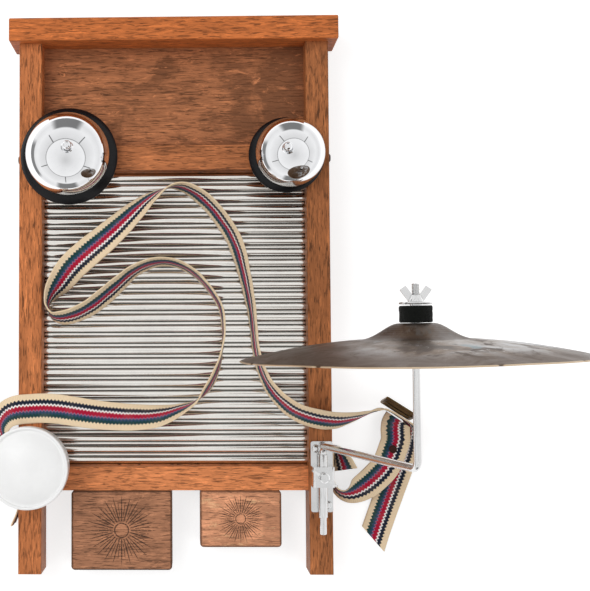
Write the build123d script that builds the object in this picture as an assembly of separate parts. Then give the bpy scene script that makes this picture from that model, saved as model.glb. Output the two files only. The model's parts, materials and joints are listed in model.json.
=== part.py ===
from build123d import *
import math
import os
from dataclasses import dataclass

# A wooden washboard with two desk bells, a cymbal on a cranked arm, a round tin,
# two tone blocks and a webbing strap. Millimetres. The board lies on its back:
# X runs across it, Y up it and Z out of its front. Sizes and places below are measured
# from the middle of the board's back, and the finished pieces are moved so that the
# origin is the middle of the cap's back face.

# Board frame
board_width = 271.0
stile_width = 20.0
stile_depth = 36.0
stile_bottom = -240.5
stile_top = 221.8
wood_edge = 1.2
cap_overhang = 8.0
cap_height = 20.3
cap_depth = 46.0
rail_front = 27.0
rail_thickness = 17.0
upper_rail_bottom = 110.6
upper_rail_height = 21.9
bottom_rail_bottom = -169.8
bottom_rail_height = 20.5
tenon_length = 8.0
tenon_thickness = 6.0
tenon_shoulder = 4.0
joint_gap = 0.1
panel_thickness = 6.0
panel_front = 18.0
panel_tongue = 5.0

# Ribbed sheet
sheet_thickness = 0.6
sheet_tongue = 3.4
sheet_back = 13.4
rib_count = 27
rib_height = 2.8
rib_crest_share = 0.7
sheet_flange = 4.4

# Fasteners
cap_screw_radius = 2.0
cap_screw_head = 4.0
cap_screw_length = 42.0
cap_screw_spacing = 16.0
side_screw_head = 4.4
side_screw_rise = 3.0
side_screw_radius = 1.8
side_screw_length = 18.5
side_screw_height = 18.0
pan_head_radius = 3.5
pan_head_height = 2.0
pan_screw_radius = 2.0

# Desk bells
left_bell_inset = 24.0
left_bell_y = 121.5
left_base_radius = 42.4
left_gong_radius = 36.3
left_dome_height = 25.0
left_rim_shift = 0.0
left_bell_lean = 6.0
left_lean_heading = 37.0
right_bell_inset = 17.2
right_bell_y = 121.4
right_base_radius = 33.0
right_gong_radius = 29.9
right_dome_height = 21.5
right_rim_shift = 2.3
right_bell_lean = 9.0
right_lean_heading = 180.0
bell_mount_pitch = 25.0
bell_base_wall = 1.2
bell_base_lip = 1.6
bell_base_height = 9.0
bell_shoulder = 17.0
bell_bulge = 1.6
bell_cover = 1.0
standoff_radius = 4.0
boss_radius = 6.0
gong_wall = 0.9
gong_band = 1.8
gong_rim_height = 12.0
bridge_plate = 1.2
bridge_width = 12.0
bridge_reach = 9.0
bridge_top = 12.0
pivot_offset = 6.0
pivot_height = 6.0
pivot_radius = 0.8
lever_thickness = 1.0
lever_width = 5.0
lever_hub = 1.9
hammer_radius = 3.0
hammer_swing = 0.55
hammer_gap = 0.4
plunger_radius = 1.3
plunger_travel = 3.0
plunger_tip = 0.6
bushing_radius = 2.4
bushing_shoulder = 3.6
collar_radius = 5.2
collar_height = 1.8
button_radius = 4.0
button_clear = 0.4
spring_wire = 0.4
spring_radius = 2.1
spring_turns = 3
running_gap = 0.08
body_gap = 0.3

# Cymbal arm and its clamp
clamp_inset = 9.4
clamp_plate_width = 18.8
clamp_plate_top = -126.8
clamp_plate_length = 60.4
clamp_plate_thickness = 1.5
clamp_plate_corner = 2.0
clamp_screw_inset_x = 4.3
clamp_screw_inset_y = 6.2
sleeve_radius = 4.0
sleeve_top = -137.4
sleeve_length = 53.4
saddle_top = -147.4
saddle_length = 17.3
saddle_wall = 5.0
saddle_round = 2.5
rod_radius = 3.0
rod_bend = 6.5
rod_lower_end = -205.6
rod_elbow = -130.5
arm_reach_x = 49.6
arm_reach_z = 159.2
arm_drop = 3.8
stud_end = -1.4
wing_bolt_radius = 2.4
wing_bolt_head = 4.25
wing_bolt_head_height = 7.0
wing_bolt_turn = -33.0
wing_span = 26.0
wing_height = 4.2
wing_slope = 25.0
wing_lift = 0.5
wing_thickness = 2.2
wing_root = 0.5
wing_tip_round = 0.35
pad_length = 2.5

# Cymbal and its stack
cymbal_radius = 127.0
cymbal_thickness = 1.0
cymbal_bell_radius = 43.6
cymbal_bow = 13.8
cymbal_bell_height = 11.6
cymbal_bore = 6.25
cymbal_top = -30.0
cymbal_droop = 1.8
cymbal_lean = 0.75
cymbal_rock = 2.0
felt_radius = 12.0
felt_clear = 1.3
upper_felt_height = 12.2
lower_felt_height = 4.0
stack_gap = 0.4
seat_radius = 11.0
seat_thickness = 2.0
stud_sleeve_radius = 4.0
washer_thickness = 1.4
nut_radius = 5.5
nut_height = 3.2
nut_wing_span = 23.0
nut_wing_height = 5.2
nut_wing_slope = 54.0
nut_tip_round = 0.12

# Tin
tin_inset = 10.8
tin_y = -147.5
tin_radius = 35.0
tin_wall = 0.8
tin_height = 26.0
tin_cup_height = 18.0
tin_lid_depth = 12.0
tin_rim_roll = 1.2
tin_screw_length = 14.0

# Tone blocks
large_block_x = (-90.4, -2.8)
large_block_length = 68.5
small_block_x = (21.5, 92.0)
small_block_length = 48.8
block_thickness = 23.5
block_gap = 0.2
block_corner = 3.3
block_chamfer = 1.0
block_kerf = 3.0
block_kerf_stop = 14.0
dowel_radius = 3.0
dowel_length = 20.0
dowel_inset = 16.0

# Webbing strap: each place is x, y, z and the roll of the webbing in degrees. The roll is
# measured from standing on edge, and 90 lies flat with the webbing's face up. Each stretch
# of the main strap runs on to the first place of the next one. The places are written for
# an opening of strap_room on each side of the middle, and are fitted to any other opening.
strap_room = 115.5
webbing_width = 25.0
webbing_thickness = 1.7
main_strap = {
    "strap_left_loop": [
        (-142.8, -200.5, 15, 0), (-138.3, -190, 15, 0), (-136.6, -181, 15, 0), (-136.8, -168, 15.5, 0),
        (-140.5, -154, 16, -5), (-146.5, -141, 17, -10), (-150.5, -127, 19, -22), (-152.3, -113, 27, -45),
        (-145.3, -103, 36, -68), (-136.5, -99.5, 38.6, -83),
    ],
    "strap_left_run": [
        (-126, -98.5, 37.1, -90), (-113, -98, 37.1, -90), (-99, -99, 36.9, -87), (-86, -101, 36.5, -80),
        (-65, -104, 35, -72), (-37, -106, 33.5, -60), (-15, -105, 32.5, -45), (3, -100, 31.5, -22),
    ],
    "strap_inner_arch": [
        (18, -93, 31, -2), (28, -82, 31, 14), (36, -67, 31, 12), (41, -50, 31, 3), (43, -30, 31, -3),
        (40, -10, 31, -6), (33, 1.9, 31, -8), (21, 16.1, 31, -9), (7, 25.6, 31, -10),
    ],
    "strap_fold": [
        (-9, 29.4, 31, -12), (-24, 26.6, 31, -16), (-37, 19.9, 31, -20), (-48, 10.4, 31, -26),
        (-60, 0, 31, -30), (-73, -10, 31, -30), (-87, -17, 31, -28), (-99, -19.5, 31, -24),
        (-107, -17.5, 31, -12),
    ],
    "strap_outer_rise": [
        (-111, -9, 31, 0), (-108, 0, 31.5, 20), (-100, 11, 32.5, 50), (-89, 25, 34, 74), (-75, 37.6, 35, 90),
        (-61, 49.1, 35.5, 102), (-47, 61.6, 35, 116), (-34, 74, 33.5, 132), (-22, 84.5, 32, 150),
        (-10, 92.2, 31, 168),
    ],
    "strap_outer_fall": [
        (-1, 95.5, 31, 180), (7, 95, 31, 190), (15, 91.7, 31, 197), (24, 85.5, 31, 203), (33, 76.9, 31, 205),
        (42, 65.4, 31, 206), (50, 52.9, 31, 206), (56, 38.6, 31, 206), (61.5, 17, 31, 200), (65, 0, 31, 196),
        (67.5, -15, 31, 192),
    ],
    "strap_right_run": [
        (69, -30, 31, 190), (71, -48, 31, 190), (74, -61, 31, 192), (79, -74, 31.5, 196),
        (85, -84, 33, 202), (93, -93, 37.5, 208), (102, -100, 43.5, 214), (112, -104.5, 48, 218),
        (124, -107.5, 49, 220), (138, -109, 46.5, 216), (151, -108, 38, 206), (163, -105.5, 28, 194),
        (174, -102, 20, 184), (183, -100.5, 16.5, 180), (190.5, -103, 15.5, 180), (197.5, -107.3, 15, 180),
    ],
    "strap_tail": [
        (203.5, -111.3, 14.5, 182), (207, -115.5, 13.5, 195), (206.6, -122, 11.5, 218),
        (204.5, -129.5, 8, 240), (202.5, -138, 5, 257), (199.5, -148, 2.9, 268), (196, -158, 1.5, 270),
        (190.5, -172.5, 1.2, 270), (185, -187, 1.2, 270), (178.4, -205, 1.2, 270), (171.9, -224.5, 1.2, 270),
    ],
}
anchor_strap_places = [
    (149, -153, 17, -48), (146, -144, 18, -35), (142.9, -135.5, 19, -14), (141, -132.5, 19, -4),
    (138.8, -132.4, 19, 0), (137.2, -135.5, 19, 0), (136.6, -146, 18.5, 0), (136.8, -158, 18, 0),
    (139.2, -167, 17, 4), (145, -172.6, 15.5, 20), (154, -173.4, 14, 50), (165, -168.5, 13, 76),
    (176, -160, 12, 88), (185, -150, 12, 90), (191.2, -135.5, 12, 90), (193.8, -127, 12.4, 94),
    (193.4, -118.5, 14, 104), (193.8, -113, 15.5, 111), (195.7, -109.3, 16.5, 115),
]
tail_cut_left = (163.2, -202.2)
tail_cut_right = (187.0, -230.0)
strap_screw_left_y = -176.0
strap_screw_right_y = -147.0
strap_screw_z = 15.0
strap_screw_length = 14.0
strap_rivet_place = (191.2, -135.5)
strap_rivet_radius = 3.5
strap_rivet_rise = 1.0
buckle_place = (196.2, -100.0, 15.0)
buckle_turn = -32.5
buckle_tip = 15.0
buckle_height = 20.0
buckle_thickness = 2.4
buckle_border = 2.6
buckle_bar = 3.4

# Worked out from the sizes above
board_half = board_width / 2
inner_half = board_half - stile_width
upper_rail_top = upper_rail_bottom + upper_rail_height
bottom_rail_top = bottom_rail_bottom + bottom_rail_height
rail_back = rail_front - rail_thickness
sheet_top = sheet_back + sheet_thickness + rib_height
rib_pitch = (upper_rail_bottom - bottom_rail_top) / rib_count
clamp_x = board_half - clamp_inset
tin_x = tin_inset - board_half
clamp_plate_front = stile_depth + clamp_plate_thickness
arm_axis_z = clamp_plate_front + pan_head_height + body_gap + sleeve_radius
mast_x = clamp_x + arm_reach_x
mast_z = arm_axis_z + arm_reach_z
saddle_middle = saddle_top - saddle_length / 2
saddle_front = arm_axis_z + sleeve_radius + saddle_wall
felt_bore = stud_sleeve_radius + felt_clear
felt_tilt = math.radians(math.hypot(cymbal_droop + cymbal_rock, cymbal_lean))
rock_room = felt_radius * math.sin(felt_tilt) + joint_gap


@dataclass
class Bell:
    """One desk bell: where its base stands and how its gong leans over it."""
    name: str
    x: float
    y: float
    base_radius: float
    gong_radius: float
    dome_height: float
    rim_shift: float
    lean: float
    heading: float


bells = [
    Bell("left", left_bell_inset - inner_half, left_bell_y, left_base_radius, left_gong_radius,
         left_dome_height, left_rim_shift, left_bell_lean, left_lean_heading),
    Bell("right", inner_half - right_bell_inset, right_bell_y, right_base_radius, right_gong_radius,
         right_dome_height, right_rim_shift, right_bell_lean, right_lean_heading),
]


def block(x_range, y_range, z_range):
    """A box between two values on each axis."""
    sizes = [high - low for low, high in (x_range, y_range, z_range)]
    middles = [(high + low) / 2 for low, high in (x_range, y_range, z_range)]
    return Pos(*middles) * Box(*sizes)


def post(start, end, radius):
    """A round bar from one point to another."""
    direction = Vector(*end) - Vector(*start)
    plane = Plane(origin=start, z_dir=direction)
    return plane * Cylinder(radius, direction.length, align=(Align.CENTER, Align.CENTER, Align.MIN))


def turned(points, axis=Axis.Z):
    """A solid turned from an outline of radius and height pairs."""
    plane = Plane.XZ if axis == Axis.Z else Plane.XY
    return revolve(plane * make_face(Polyline(*points, close=True)), axis)


def pan_head_screw(length):
    """A screw with its shank down -Z and its head above the origin."""
    round_top = pan_head_height / 2
    head = turned([
        (0, 0), (pan_head_radius, 0), (pan_head_radius, round_top),
        (pan_head_radius - round_top, pan_head_height), (0, pan_head_height),
    ])
    return head + post((0, 0, 0), (0, 0, -length), pan_screw_radius)


# ---- board


def side_sign(side):
    return -1 if side == "left" else 1


def span(sign, near, far):
    """A range on the left or right side, in rising order."""
    return tuple(sorted((sign * near, sign * far)))


def rail_body(bottom, height, flange_range):
    """A cross rail with its tenons and the rebate that laps the ribbed sheet."""
    top = bottom + height
    rail = block((-inner_half, inner_half), (bottom, top), (rail_back, rail_front))
    tenon_z = (rail_back + rail_front) / 2
    reach = inner_half + tenon_length
    rail += block(
        (-reach, reach),
        (bottom + tenon_shoulder, top - tenon_shoulder),
        (tenon_z - tenon_thickness / 2, tenon_z + tenon_thickness / 2),
    )
    rebate_y = (flange_range[0] - joint_gap, flange_range[1] + joint_gap)
    return rail - block((-inner_half, inner_half), rebate_y, (rail_back, sheet_back + sheet_thickness))


def mortise(sign, bottom, height):
    tenon_z = (rail_back + rail_front) / 2
    half = tenon_thickness / 2 + joint_gap
    return block(
        span(sign, inner_half, inner_half + tenon_length + joint_gap),
        (bottom + tenon_shoulder - joint_gap, bottom + height - tenon_shoulder + joint_gap),
        (tenon_z - half, tenon_z + half),
    )


def stile(side):
    sign = side_sign(side)
    body = block(span(sign, inner_half, board_half), (stile_bottom, stile_top), (0, stile_depth))
    body = fillet(body.edges().filter_by(Axis.Y), wood_edge)
    body -= mortise(sign, upper_rail_bottom, upper_rail_height)
    body -= mortise(sign, bottom_rail_bottom, bottom_rail_height)
    body -= block(
        span(sign, inner_half, inner_half + panel_tongue + joint_gap),
        (upper_rail_top, stile_top),
        (panel_front - panel_thickness - joint_gap, panel_front + joint_gap),
    )
    body -= block(
        span(sign, inner_half, inner_half + sheet_tongue + joint_gap),
        (bottom_rail_top - sheet_flange - joint_gap, upper_rail_bottom + sheet_flange + joint_gap),
        (sheet_back, sheet_top + joint_gap),
    )
    screw_x = sign * (board_half - stile_width / 2)
    for z in cap_screw_heights():
        body -= post((screw_x, stile_top + cap_height, z), (screw_x, cap_screw_end(), z), cap_screw_radius)
    body -= side_screw(sign)
    body -= strap_screw(sign)
    if side == "right":
        for x, y in clamp_screw_places():
            body -= Pos(x, y, clamp_plate_front) * pan_head_screw(strap_screw_length)
    else:
        body -= Pos(tin_x, tin_y, stile_depth + tin_wall) * pan_head_screw(tin_screw_length)
    return body


def cap_screw_heights():
    return [stile_depth / 2 - cap_screw_spacing / 2, stile_depth / 2 + cap_screw_spacing / 2]


def cap_screw_end():
    return stile_top + cap_height - cap_screw_length


def cap_screw(x, z):
    """A countersunk wood screw with its head level with the top of the cap."""
    top = stile_top + cap_height
    screw = post((x, top, z), (x, cap_screw_end(), z), cap_screw_radius)
    depth = cap_screw_head - cap_screw_radius
    cone = Cone(cap_screw_radius, cap_screw_head, depth)
    return screw + Pos(x, top - depth / 2, z) * Rot(-90, 0, 0) * cone


def cap_screws():
    x = board_half - stile_width / 2
    return Compound([cap_screw(sign * x, z) for sign in (-1, 1) for z in cap_screw_heights()])


def top_cap():
    half = board_half + cap_overhang
    cap = block((-half, half), (stile_top, stile_top + cap_height), (0, cap_depth))
    cap = fillet(cap.edges(), wood_edge)
    for screw in cap_screws():
        cap -= screw
    return cap


def top_panel():
    half = inner_half + panel_tongue
    return block(
        (-half, half),
        (upper_rail_top + joint_gap, stile_top - joint_gap),
        (panel_front - panel_thickness, panel_front),
    )


def upper_cross_rail():
    lap = (upper_rail_bottom, upper_rail_bottom + sheet_flange)
    rail = rail_body(upper_rail_bottom, upper_rail_height, lap)
    for bell in bells:
        for screw in bell_screw_set(bell):
            rail -= screw
    return rail - side_screw(-1) - side_screw(1)


def bottom_rail():
    lap = (bottom_rail_top - sheet_flange, bottom_rail_top)
    rail = rail_body(bottom_rail_bottom, bottom_rail_height, lap)
    for pin in dowels():
        rail -= pin
    return rail


def side_screw(sign):
    """A dome-headed screw through the stile into the end of the upper rail."""
    y = upper_rail_bottom + upper_rail_height / 2
    start = sign * board_half
    head_curve = side_screw_rise / 2
    head = turned([
        (0, 0), (side_screw_head, 0), (side_screw_head, head_curve),
        (side_screw_head - head_curve, side_screw_rise), (0, side_screw_rise),
    ])
    place = Plane(origin=(start, y, side_screw_height), z_dir=(sign, 0, 0))
    shank = post((start, y, side_screw_height), (start - sign * side_screw_length, y, side_screw_height),
                 side_screw_radius)
    return place * head + shank


def side_screws():
    return Compound([side_screw(-1), side_screw(1)])


def rib_line(inset):
    """One face of the ribbed sheet as tangent arcs, from the lower flange to the upper one."""
    slope = 2 * math.atan(2 * rib_height / rib_pitch)
    both = rib_pitch / 2 / math.sin(slope)
    crest = both * rib_crest_share
    valley = both - crest
    low = sheet_back + sheet_thickness
    valley_centre = low + valley
    crest_centre = low + rib_height - crest
    valley_radius = valley + inset
    crest_radius = crest - inset

    def on_valley(y, angle):
        return (y + valley_radius * math.sin(angle), valley_centre - valley_radius * math.cos(angle))

    def on_crest(y, angle):
        return (y + crest_radius * math.sin(angle), crest_centre + crest_radius * math.cos(angle))

    edges = []
    for rib in range(rib_count):
        start = bottom_rail_top + rib * rib_pitch
        middle = start + rib_pitch / 2
        end = start + rib_pitch
        rise = [on_valley(start, share * slope) for share in (0, 0.5, 1)]
        crown = [on_crest(middle, share * slope) for share in (-1, 0, 1)]
        fall = [on_valley(end, share * slope) for share in (-1, -0.5, 0)]
        edges += [ThreePointArc(*points) for points in (rise, crown, fall)]
    return edges


def ribbed_sheet():
    """The corrugated playing surface, pressed from one sheet of steel."""
    low = bottom_rail_top - sheet_flange
    high = upper_rail_bottom + sheet_flange
    front = sheet_back + sheet_thickness
    outline = rib_line(0) + rib_line(sheet_thickness)
    for level in (front, sheet_back):
        outline.append(Line((low, level), (bottom_rail_top, level)))
        outline.append(Line((upper_rail_bottom, level), (high, level)))
    outline.append(Line((low, front), (low, sheet_back)))
    outline.append(Line((high, front), (high, sheet_back)))
    face = make_face(Curve() + outline)
    return extrude(Plane.YZ * face, amount=inner_half + sheet_tongue, both=True)


# ---- desk bells


def bell_frame(bell):
    """The leaning frame of a bell: its origin is the middle of the gong's rim plane."""
    rim = stile_depth + gong_rim_height
    return Pos(bell.x + bell.rim_shift, bell.y, rim) * Rot(0, 0, bell.heading) * Rot(0, bell.lean, 0)


def base_outline(radius, shoulder, height, lip):
    """A dished pan: a straight lip, a bulging skirt and a flat top."""
    middle = ((radius + shoulder) / 2 + bell_bulge, (lip + height) / 2 + bell_bulge)
    skirt = ThreePointArc((radius, lip), middle, (shoulder, height))
    lines = [
        Line((0, 0), (radius, 0)), Line((radius, 0), (radius, lip)), skirt,
        Line((shoulder, height), (0, height)), Line((0, height), (0, 0)),
    ]
    return revolve(Plane.XZ * make_face(Curve() + lines), Axis.Z)


def bell_screw_places(bell):
    return [(bell.x - bell_mount_pitch / 2, bell.y), (bell.x + bell_mount_pitch / 2, bell.y)]


def bell_screw_set(bell):
    """The two screws that hold a bell through its stand-offs to the rail."""
    top = stile_depth + bell_base_height
    length = top - rail_back - bell_cover
    return [Pos(x, y, top) * pan_head_screw(length) for x, y in bell_screw_places(bell)]


def bell_base(bell):
    shoulder = bell.base_radius - bell_shoulder
    shell = base_outline(bell.base_radius, shoulder, bell_base_height, bell_base_lip)
    hollow = base_outline(
        bell.base_radius - bell_base_wall, shoulder - bell_base_wall,
        bell_base_height - bell_base_wall, bell_base_lip,
    )
    base = Pos(bell.x, bell.y, stile_depth) * (shell - hollow)
    boss_low = bell_base_height - gong_rim_height - bell_base_wall
    base += bell_frame(bell) * post((0, 0, boss_low), (0, 0, -bridge_plate), boss_radius)
    for screw in bell_screw_set(bell):
        base -= screw
    return base


def bell_cover_plate(bell):
    """The disc that closes the underside of a bell's base."""
    low = stile_depth
    high = stile_depth + bell_cover
    radius = bell.base_radius - bell_base_wall - joint_gap
    plate = post((bell.x, bell.y, low), (bell.x, bell.y, high), radius)
    for x, y in bell_screw_places(bell):
        plate -= post((x, y, low), (x, y, high), standoff_radius + joint_gap)
    return plate


def standoffs():
    """Tubes that carry the bells' bases in front of the rail."""
    top = stile_depth + bell_base_height - bell_base_wall
    tubes = []
    for bell in bells:
        for x, y in bell_screw_places(bell):
            tube = post((x, y, rail_front), (x, y, top), standoff_radius)
            tubes.append(tube - post((x, y, rail_front), (x, y, top), pan_screw_radius + joint_gap))
    return Compound(tubes)


def bell_screws():
    return Compound([screw for bell in bells for screw in bell_screw_set(bell)])


def gong_shape(radius, height, band):
    lines = [
        Line((0, 0), (radius, 0)), Line((radius, 0), (radius, band)),
        EllipticalCenterArc((0, band), radius, height - band, arc_size=90), Line((0, height), (0, 0)),
    ]
    return revolve(Plane.XZ * make_face(Curve() + lines), Axis.Z)


def gong_inner_height(bell, radius):
    """The height of the gong's inner face above the rim at a distance from its axis."""
    rise = bell.dome_height - gong_wall - gong_band
    share = radius / (bell.gong_radius - gong_wall)
    return gong_band + rise * math.sqrt(1 - share * share)


def gong(bell):
    dome = gong_shape(bell.gong_radius, bell.dome_height, gong_band)
    dome -= gong_shape(bell.gong_radius - gong_wall, bell.dome_height - gong_wall, gong_band)
    dome -= post((0, 0, 0), (0, 0, bell.dome_height), bushing_radius + joint_gap)
    return bell_frame(bell) * dome


def bridge(bell):
    """A bent bracket on the base that carries the bushing and the hammer's pin."""
    half = bridge_width / 2
    inner = half - bridge_plate
    x_range = (-bridge_reach, half)
    frame = block(x_range, (-half, half), (-bridge_plate, bridge_top + bridge_plate))
    frame -= block(x_range, (-inner, inner), (0, bridge_top))
    pin = hammer_pin_bar(bridge_width)
    hole = post((0, 0, bridge_top), (0, 0, bridge_top + bridge_plate), bushing_radius + joint_gap)
    return bell_frame(bell) * (frame - pin - hole)


def hammer_pin_bar(length):
    start = (-pivot_offset, -length / 2, pivot_height)
    end = (-pivot_offset, length / 2, pivot_height)
    return post(start, end, pivot_radius)


def hammer_pins():
    rivet = hammer_pin_bar(bridge_width + 2 * pivot_radius)
    return Compound([bell_frame(bell) * rivet for bell in bells])


def bushing(bell):
    """The tube that carries the gong on its shoulder and guides the plunger."""
    seat = gong_inner_height(bell, bushing_shoulder)
    top = bell.dome_height + collar_height
    tube = post((0, 0, bridge_top), (0, 0, top), bushing_radius)
    tube += post((0, 0, bridge_top + bridge_plate), (0, 0, seat), bushing_shoulder)
    tube -= post((0, 0, bridge_top), (0, 0, top), plunger_radius + running_gap)
    return bell_frame(bell) * tube


def collar_nut(bell):
    edge = collar_height / 3
    ring = turned([
        (bushing_radius, 0), (collar_radius, 0), (collar_radius, collar_height - edge),
        (collar_radius - edge, collar_height), (bushing_radius, collar_height),
    ])
    return bell_frame(bell) * Pos(0, 0, bell.dome_height) * ring


def button_bottom(bell):
    return bell.dome_height + collar_height + plunger_travel + button_clear


def spring_pocket():
    return button_radius * 0.3


def plunger(bell):
    """The round button and its rod, which presses the hammer's tail."""
    bottom = button_bottom(bell)
    ball_centre = bottom + button_radius * 0.55
    ball = Pos(0, 0, ball_centre) * Sphere(button_radius)
    ball -= block((-button_radius, button_radius), (-button_radius, button_radius),
                  (bottom - button_radius, bottom))
    ball -= post((0, 0, bottom), (0, 0, bottom + spring_pocket()), spring_radius + spring_wire)
    tip = pivot_height + lever_thickness / 2 + body_gap
    rod = turned([
        (0, tip), (plunger_tip, tip), (plunger_radius, tip + plunger_radius),
        (plunger_radius, ball_centre), (0, ball_centre),
    ])
    return bell_frame(bell) * (ball + rod)


def plunger_spring(bell):
    """A small coil between the collar and the button."""
    low = bell.dome_height + collar_height + spring_wire / 2 + running_gap
    high = button_bottom(bell) + spring_pocket() - spring_wire / 2 - running_gap
    pitch = (high - low) / spring_turns
    line = Helix(pitch, high - low, spring_radius)
    section = Plane(origin=line @ 0, z_dir=line % 0) * Circle(spring_wire / 2)
    return bell_frame(bell) * Pos(0, 0, low) * sweep(section, path=line, is_frenet=True)


def hammer_reach(bell):
    """How far the hammer's centre is from its pin, so that it just meets the gong at full swing."""
    spare = gong_wall + hammer_radius + hammer_gap
    across = bell.gong_radius - spare
    up = bell.dome_height - gong_band - spare
    cos_swing = math.cos(hammer_swing)
    sin_swing = math.sin(hammer_swing)
    rise = pivot_height - gong_band
    a = (cos_swing / across) ** 2 + (sin_swing / up) ** 2
    b = 2 * (pivot_offset * cos_swing / across ** 2 + rise * sin_swing / up ** 2)
    c = (pivot_offset / across) ** 2 + (rise / up) ** 2 - 1
    return (-b + math.sqrt(b * b - 4 * a * c)) / (2 * a)


def hammer(bell):
    """The lever on its pin: a tail under the plunger and a round hammer inside the gong."""
    low = pivot_height - lever_thickness / 2
    high = pivot_height + lever_thickness / 2
    reach = hammer_reach(bell)
    half = lever_width / 2
    hub_half = bridge_width / 2 - bridge_plate - body_gap
    tail = block((-pivot_offset, half), (-half, half), (low, high))
    arm = block((-pivot_offset - reach, -pivot_offset), (-half / 2, half / 2), (low, high))
    hub = post((-pivot_offset, -hub_half, pivot_height), (-pivot_offset, hub_half, pivot_height), lever_hub)
    bob = Pos(-pivot_offset - reach, 0, pivot_height) * Sphere(hammer_radius)
    bore = post((-pivot_offset, -hub_half, pivot_height), (-pivot_offset, hub_half, pivot_height),
                pivot_radius + running_gap)
    return bell_frame(bell) * (tail + arm + hub + bob - bore)


# ---- cymbal arm


def clamp_screw_places():
    left = clamp_x - clamp_plate_width / 2 + clamp_screw_inset_x
    right = clamp_x + clamp_plate_width / 2 - clamp_screw_inset_x
    bottom = clamp_plate_top - clamp_plate_length
    return [(left, clamp_plate_top - clamp_screw_inset_y), (right, bottom + clamp_screw_inset_y)]


def clamp_screws():
    return Compound([Pos(x, y, clamp_plate_front) * pan_head_screw(strap_screw_length)
                     for x, y in clamp_screw_places()])


def clamp_plate():
    across = (clamp_x - clamp_plate_width / 2, clamp_x + clamp_plate_width / 2)
    along = (clamp_plate_top - clamp_plate_length, clamp_plate_top)
    plate = block(across, along, (stile_depth, clamp_plate_front))
    plate = fillet(plate.edges().filter_by(Axis.Z), clamp_plate_corner)
    for screw in clamp_screws():
        plate -= screw
    return plate


def arm_line(low, high, radius):
    """A round bar on the arm's turning axis."""
    return post((clamp_x, low, arm_axis_z), (clamp_x, high, arm_axis_z), radius)


def clamp_saddle():
    """The block on the plate that the sleeve turns in, threaded for the wing bolt."""
    half = clamp_plate_width / 2
    low = saddle_top - saddle_length
    body = block((clamp_x - half, clamp_x + half), (low, saddle_top), (clamp_plate_front, saddle_front))
    upper = body.edges().filter_by(Axis.Y).group_by(Axis.Z)[-1]
    body = fillet(upper, saddle_round)
    body -= arm_line(low, saddle_top, sleeve_radius + running_gap)
    return body - post((clamp_x, saddle_middle, arm_axis_z), (clamp_x, saddle_middle, saddle_front),
                       wing_bolt_radius + running_gap)


def clamp_sleeve():
    tube = arm_line(sleeve_top - sleeve_length, sleeve_top, sleeve_radius)
    return tube - arm_line(sleeve_top - sleeve_length, sleeve_top, rod_radius + running_gap)


def pad_range():
    low = arm_axis_z + sleeve_radius + body_gap / 2
    return low, low + pad_length


def clamp_pad():
    """The loose disc that the wing bolt presses on the sleeve."""
    low, high = pad_range()
    return post((clamp_x, saddle_middle, low), (clamp_x, saddle_middle, high), wing_bolt_radius)


def wing_pair(hub, total, thickness, height, slope, tip_round):
    """Two wings that rise outward from a hub on the Z axis."""
    root = hub - wing_root
    length = (total / 2 - root) / math.cos(math.radians(slope))
    wing = Box(length, thickness, height, align=(Align.MIN, Align.CENTER, Align.MIN))
    wing = fillet(wing.edges().filter_by(Axis.Y).group_by(Axis.X)[-1], height * tip_round)
    wing = Pos(root, 0, 0) * Rot(0, -slope, 0) * wing
    return wing + mirror(wing, Plane.YZ)


def wing_bolt():
    """The bolt that clamps the arm, with a round head and two wings."""
    seat = saddle_front + body_gap
    low = pad_range()[1] + joint_gap
    head = turned([
        (0, seat), (wing_bolt_head, seat), (wing_bolt_head, seat + wing_bolt_head_height - 1),
        (wing_bolt_head - 1, seat + wing_bolt_head_height), (0, seat + wing_bolt_head_height),
    ])
    wings = wing_pair(wing_bolt_head, wing_span, wing_thickness, wing_height, wing_slope, wing_tip_round)
    wings = Pos(0, 0, seat + wing_lift) * wings
    shank = post((0, 0, low), (0, 0, seat), wing_bolt_radius)
    return Pos(clamp_x, saddle_middle, 0) * Rot(0, 0, wing_bolt_turn) * (head + wings + shank)


def arm_rod():
    """The rod, cranked twice: through the sleeve, out from the board and up as a mast."""
    points = [
        (clamp_x, rod_lower_end, arm_axis_z), (clamp_x, rod_elbow, arm_axis_z),
        (mast_x, rod_elbow - arm_drop, mast_z), (mast_x, stud_end, mast_z),
    ]
    path = FilletPolyline(*points, radius=rod_bend)
    section = Plane(origin=points[0], z_dir=(0, 1, 0)) * Circle(rod_radius)
    return sweep(section, path=path)


def mast(low, high, radius):
    return post((mast_x, low, mast_z), (mast_x, high, mast_z), radius)


def rock_frame():
    """The frame that the cymbal and its felts rock in, at the top of the cymbal's hole."""
    return Pos(mast_x, cymbal_top, mast_z) * Rot(0, 0, cymbal_lean) * Rot(cymbal_droop, 0, 0)


def cymbal_seat():
    """A flanged tube fixed on the mast below the cymbal."""
    high = cymbal_top - cymbal_thickness - lower_felt_height - stack_gap - rock_room
    washer_low = washer_range()[0]
    body = mast(high - seat_thickness, high, seat_radius)
    body += mast(high, washer_low - joint_gap, stud_sleeve_radius)
    return body - mast(high - seat_thickness, washer_low, rod_radius)


def felt(low, height):
    high = low + height
    ring = turned([(felt_bore, low), (felt_radius, low), (felt_radius, high), (felt_bore, high)], Axis.Y)
    return rock_frame() * ring


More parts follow.
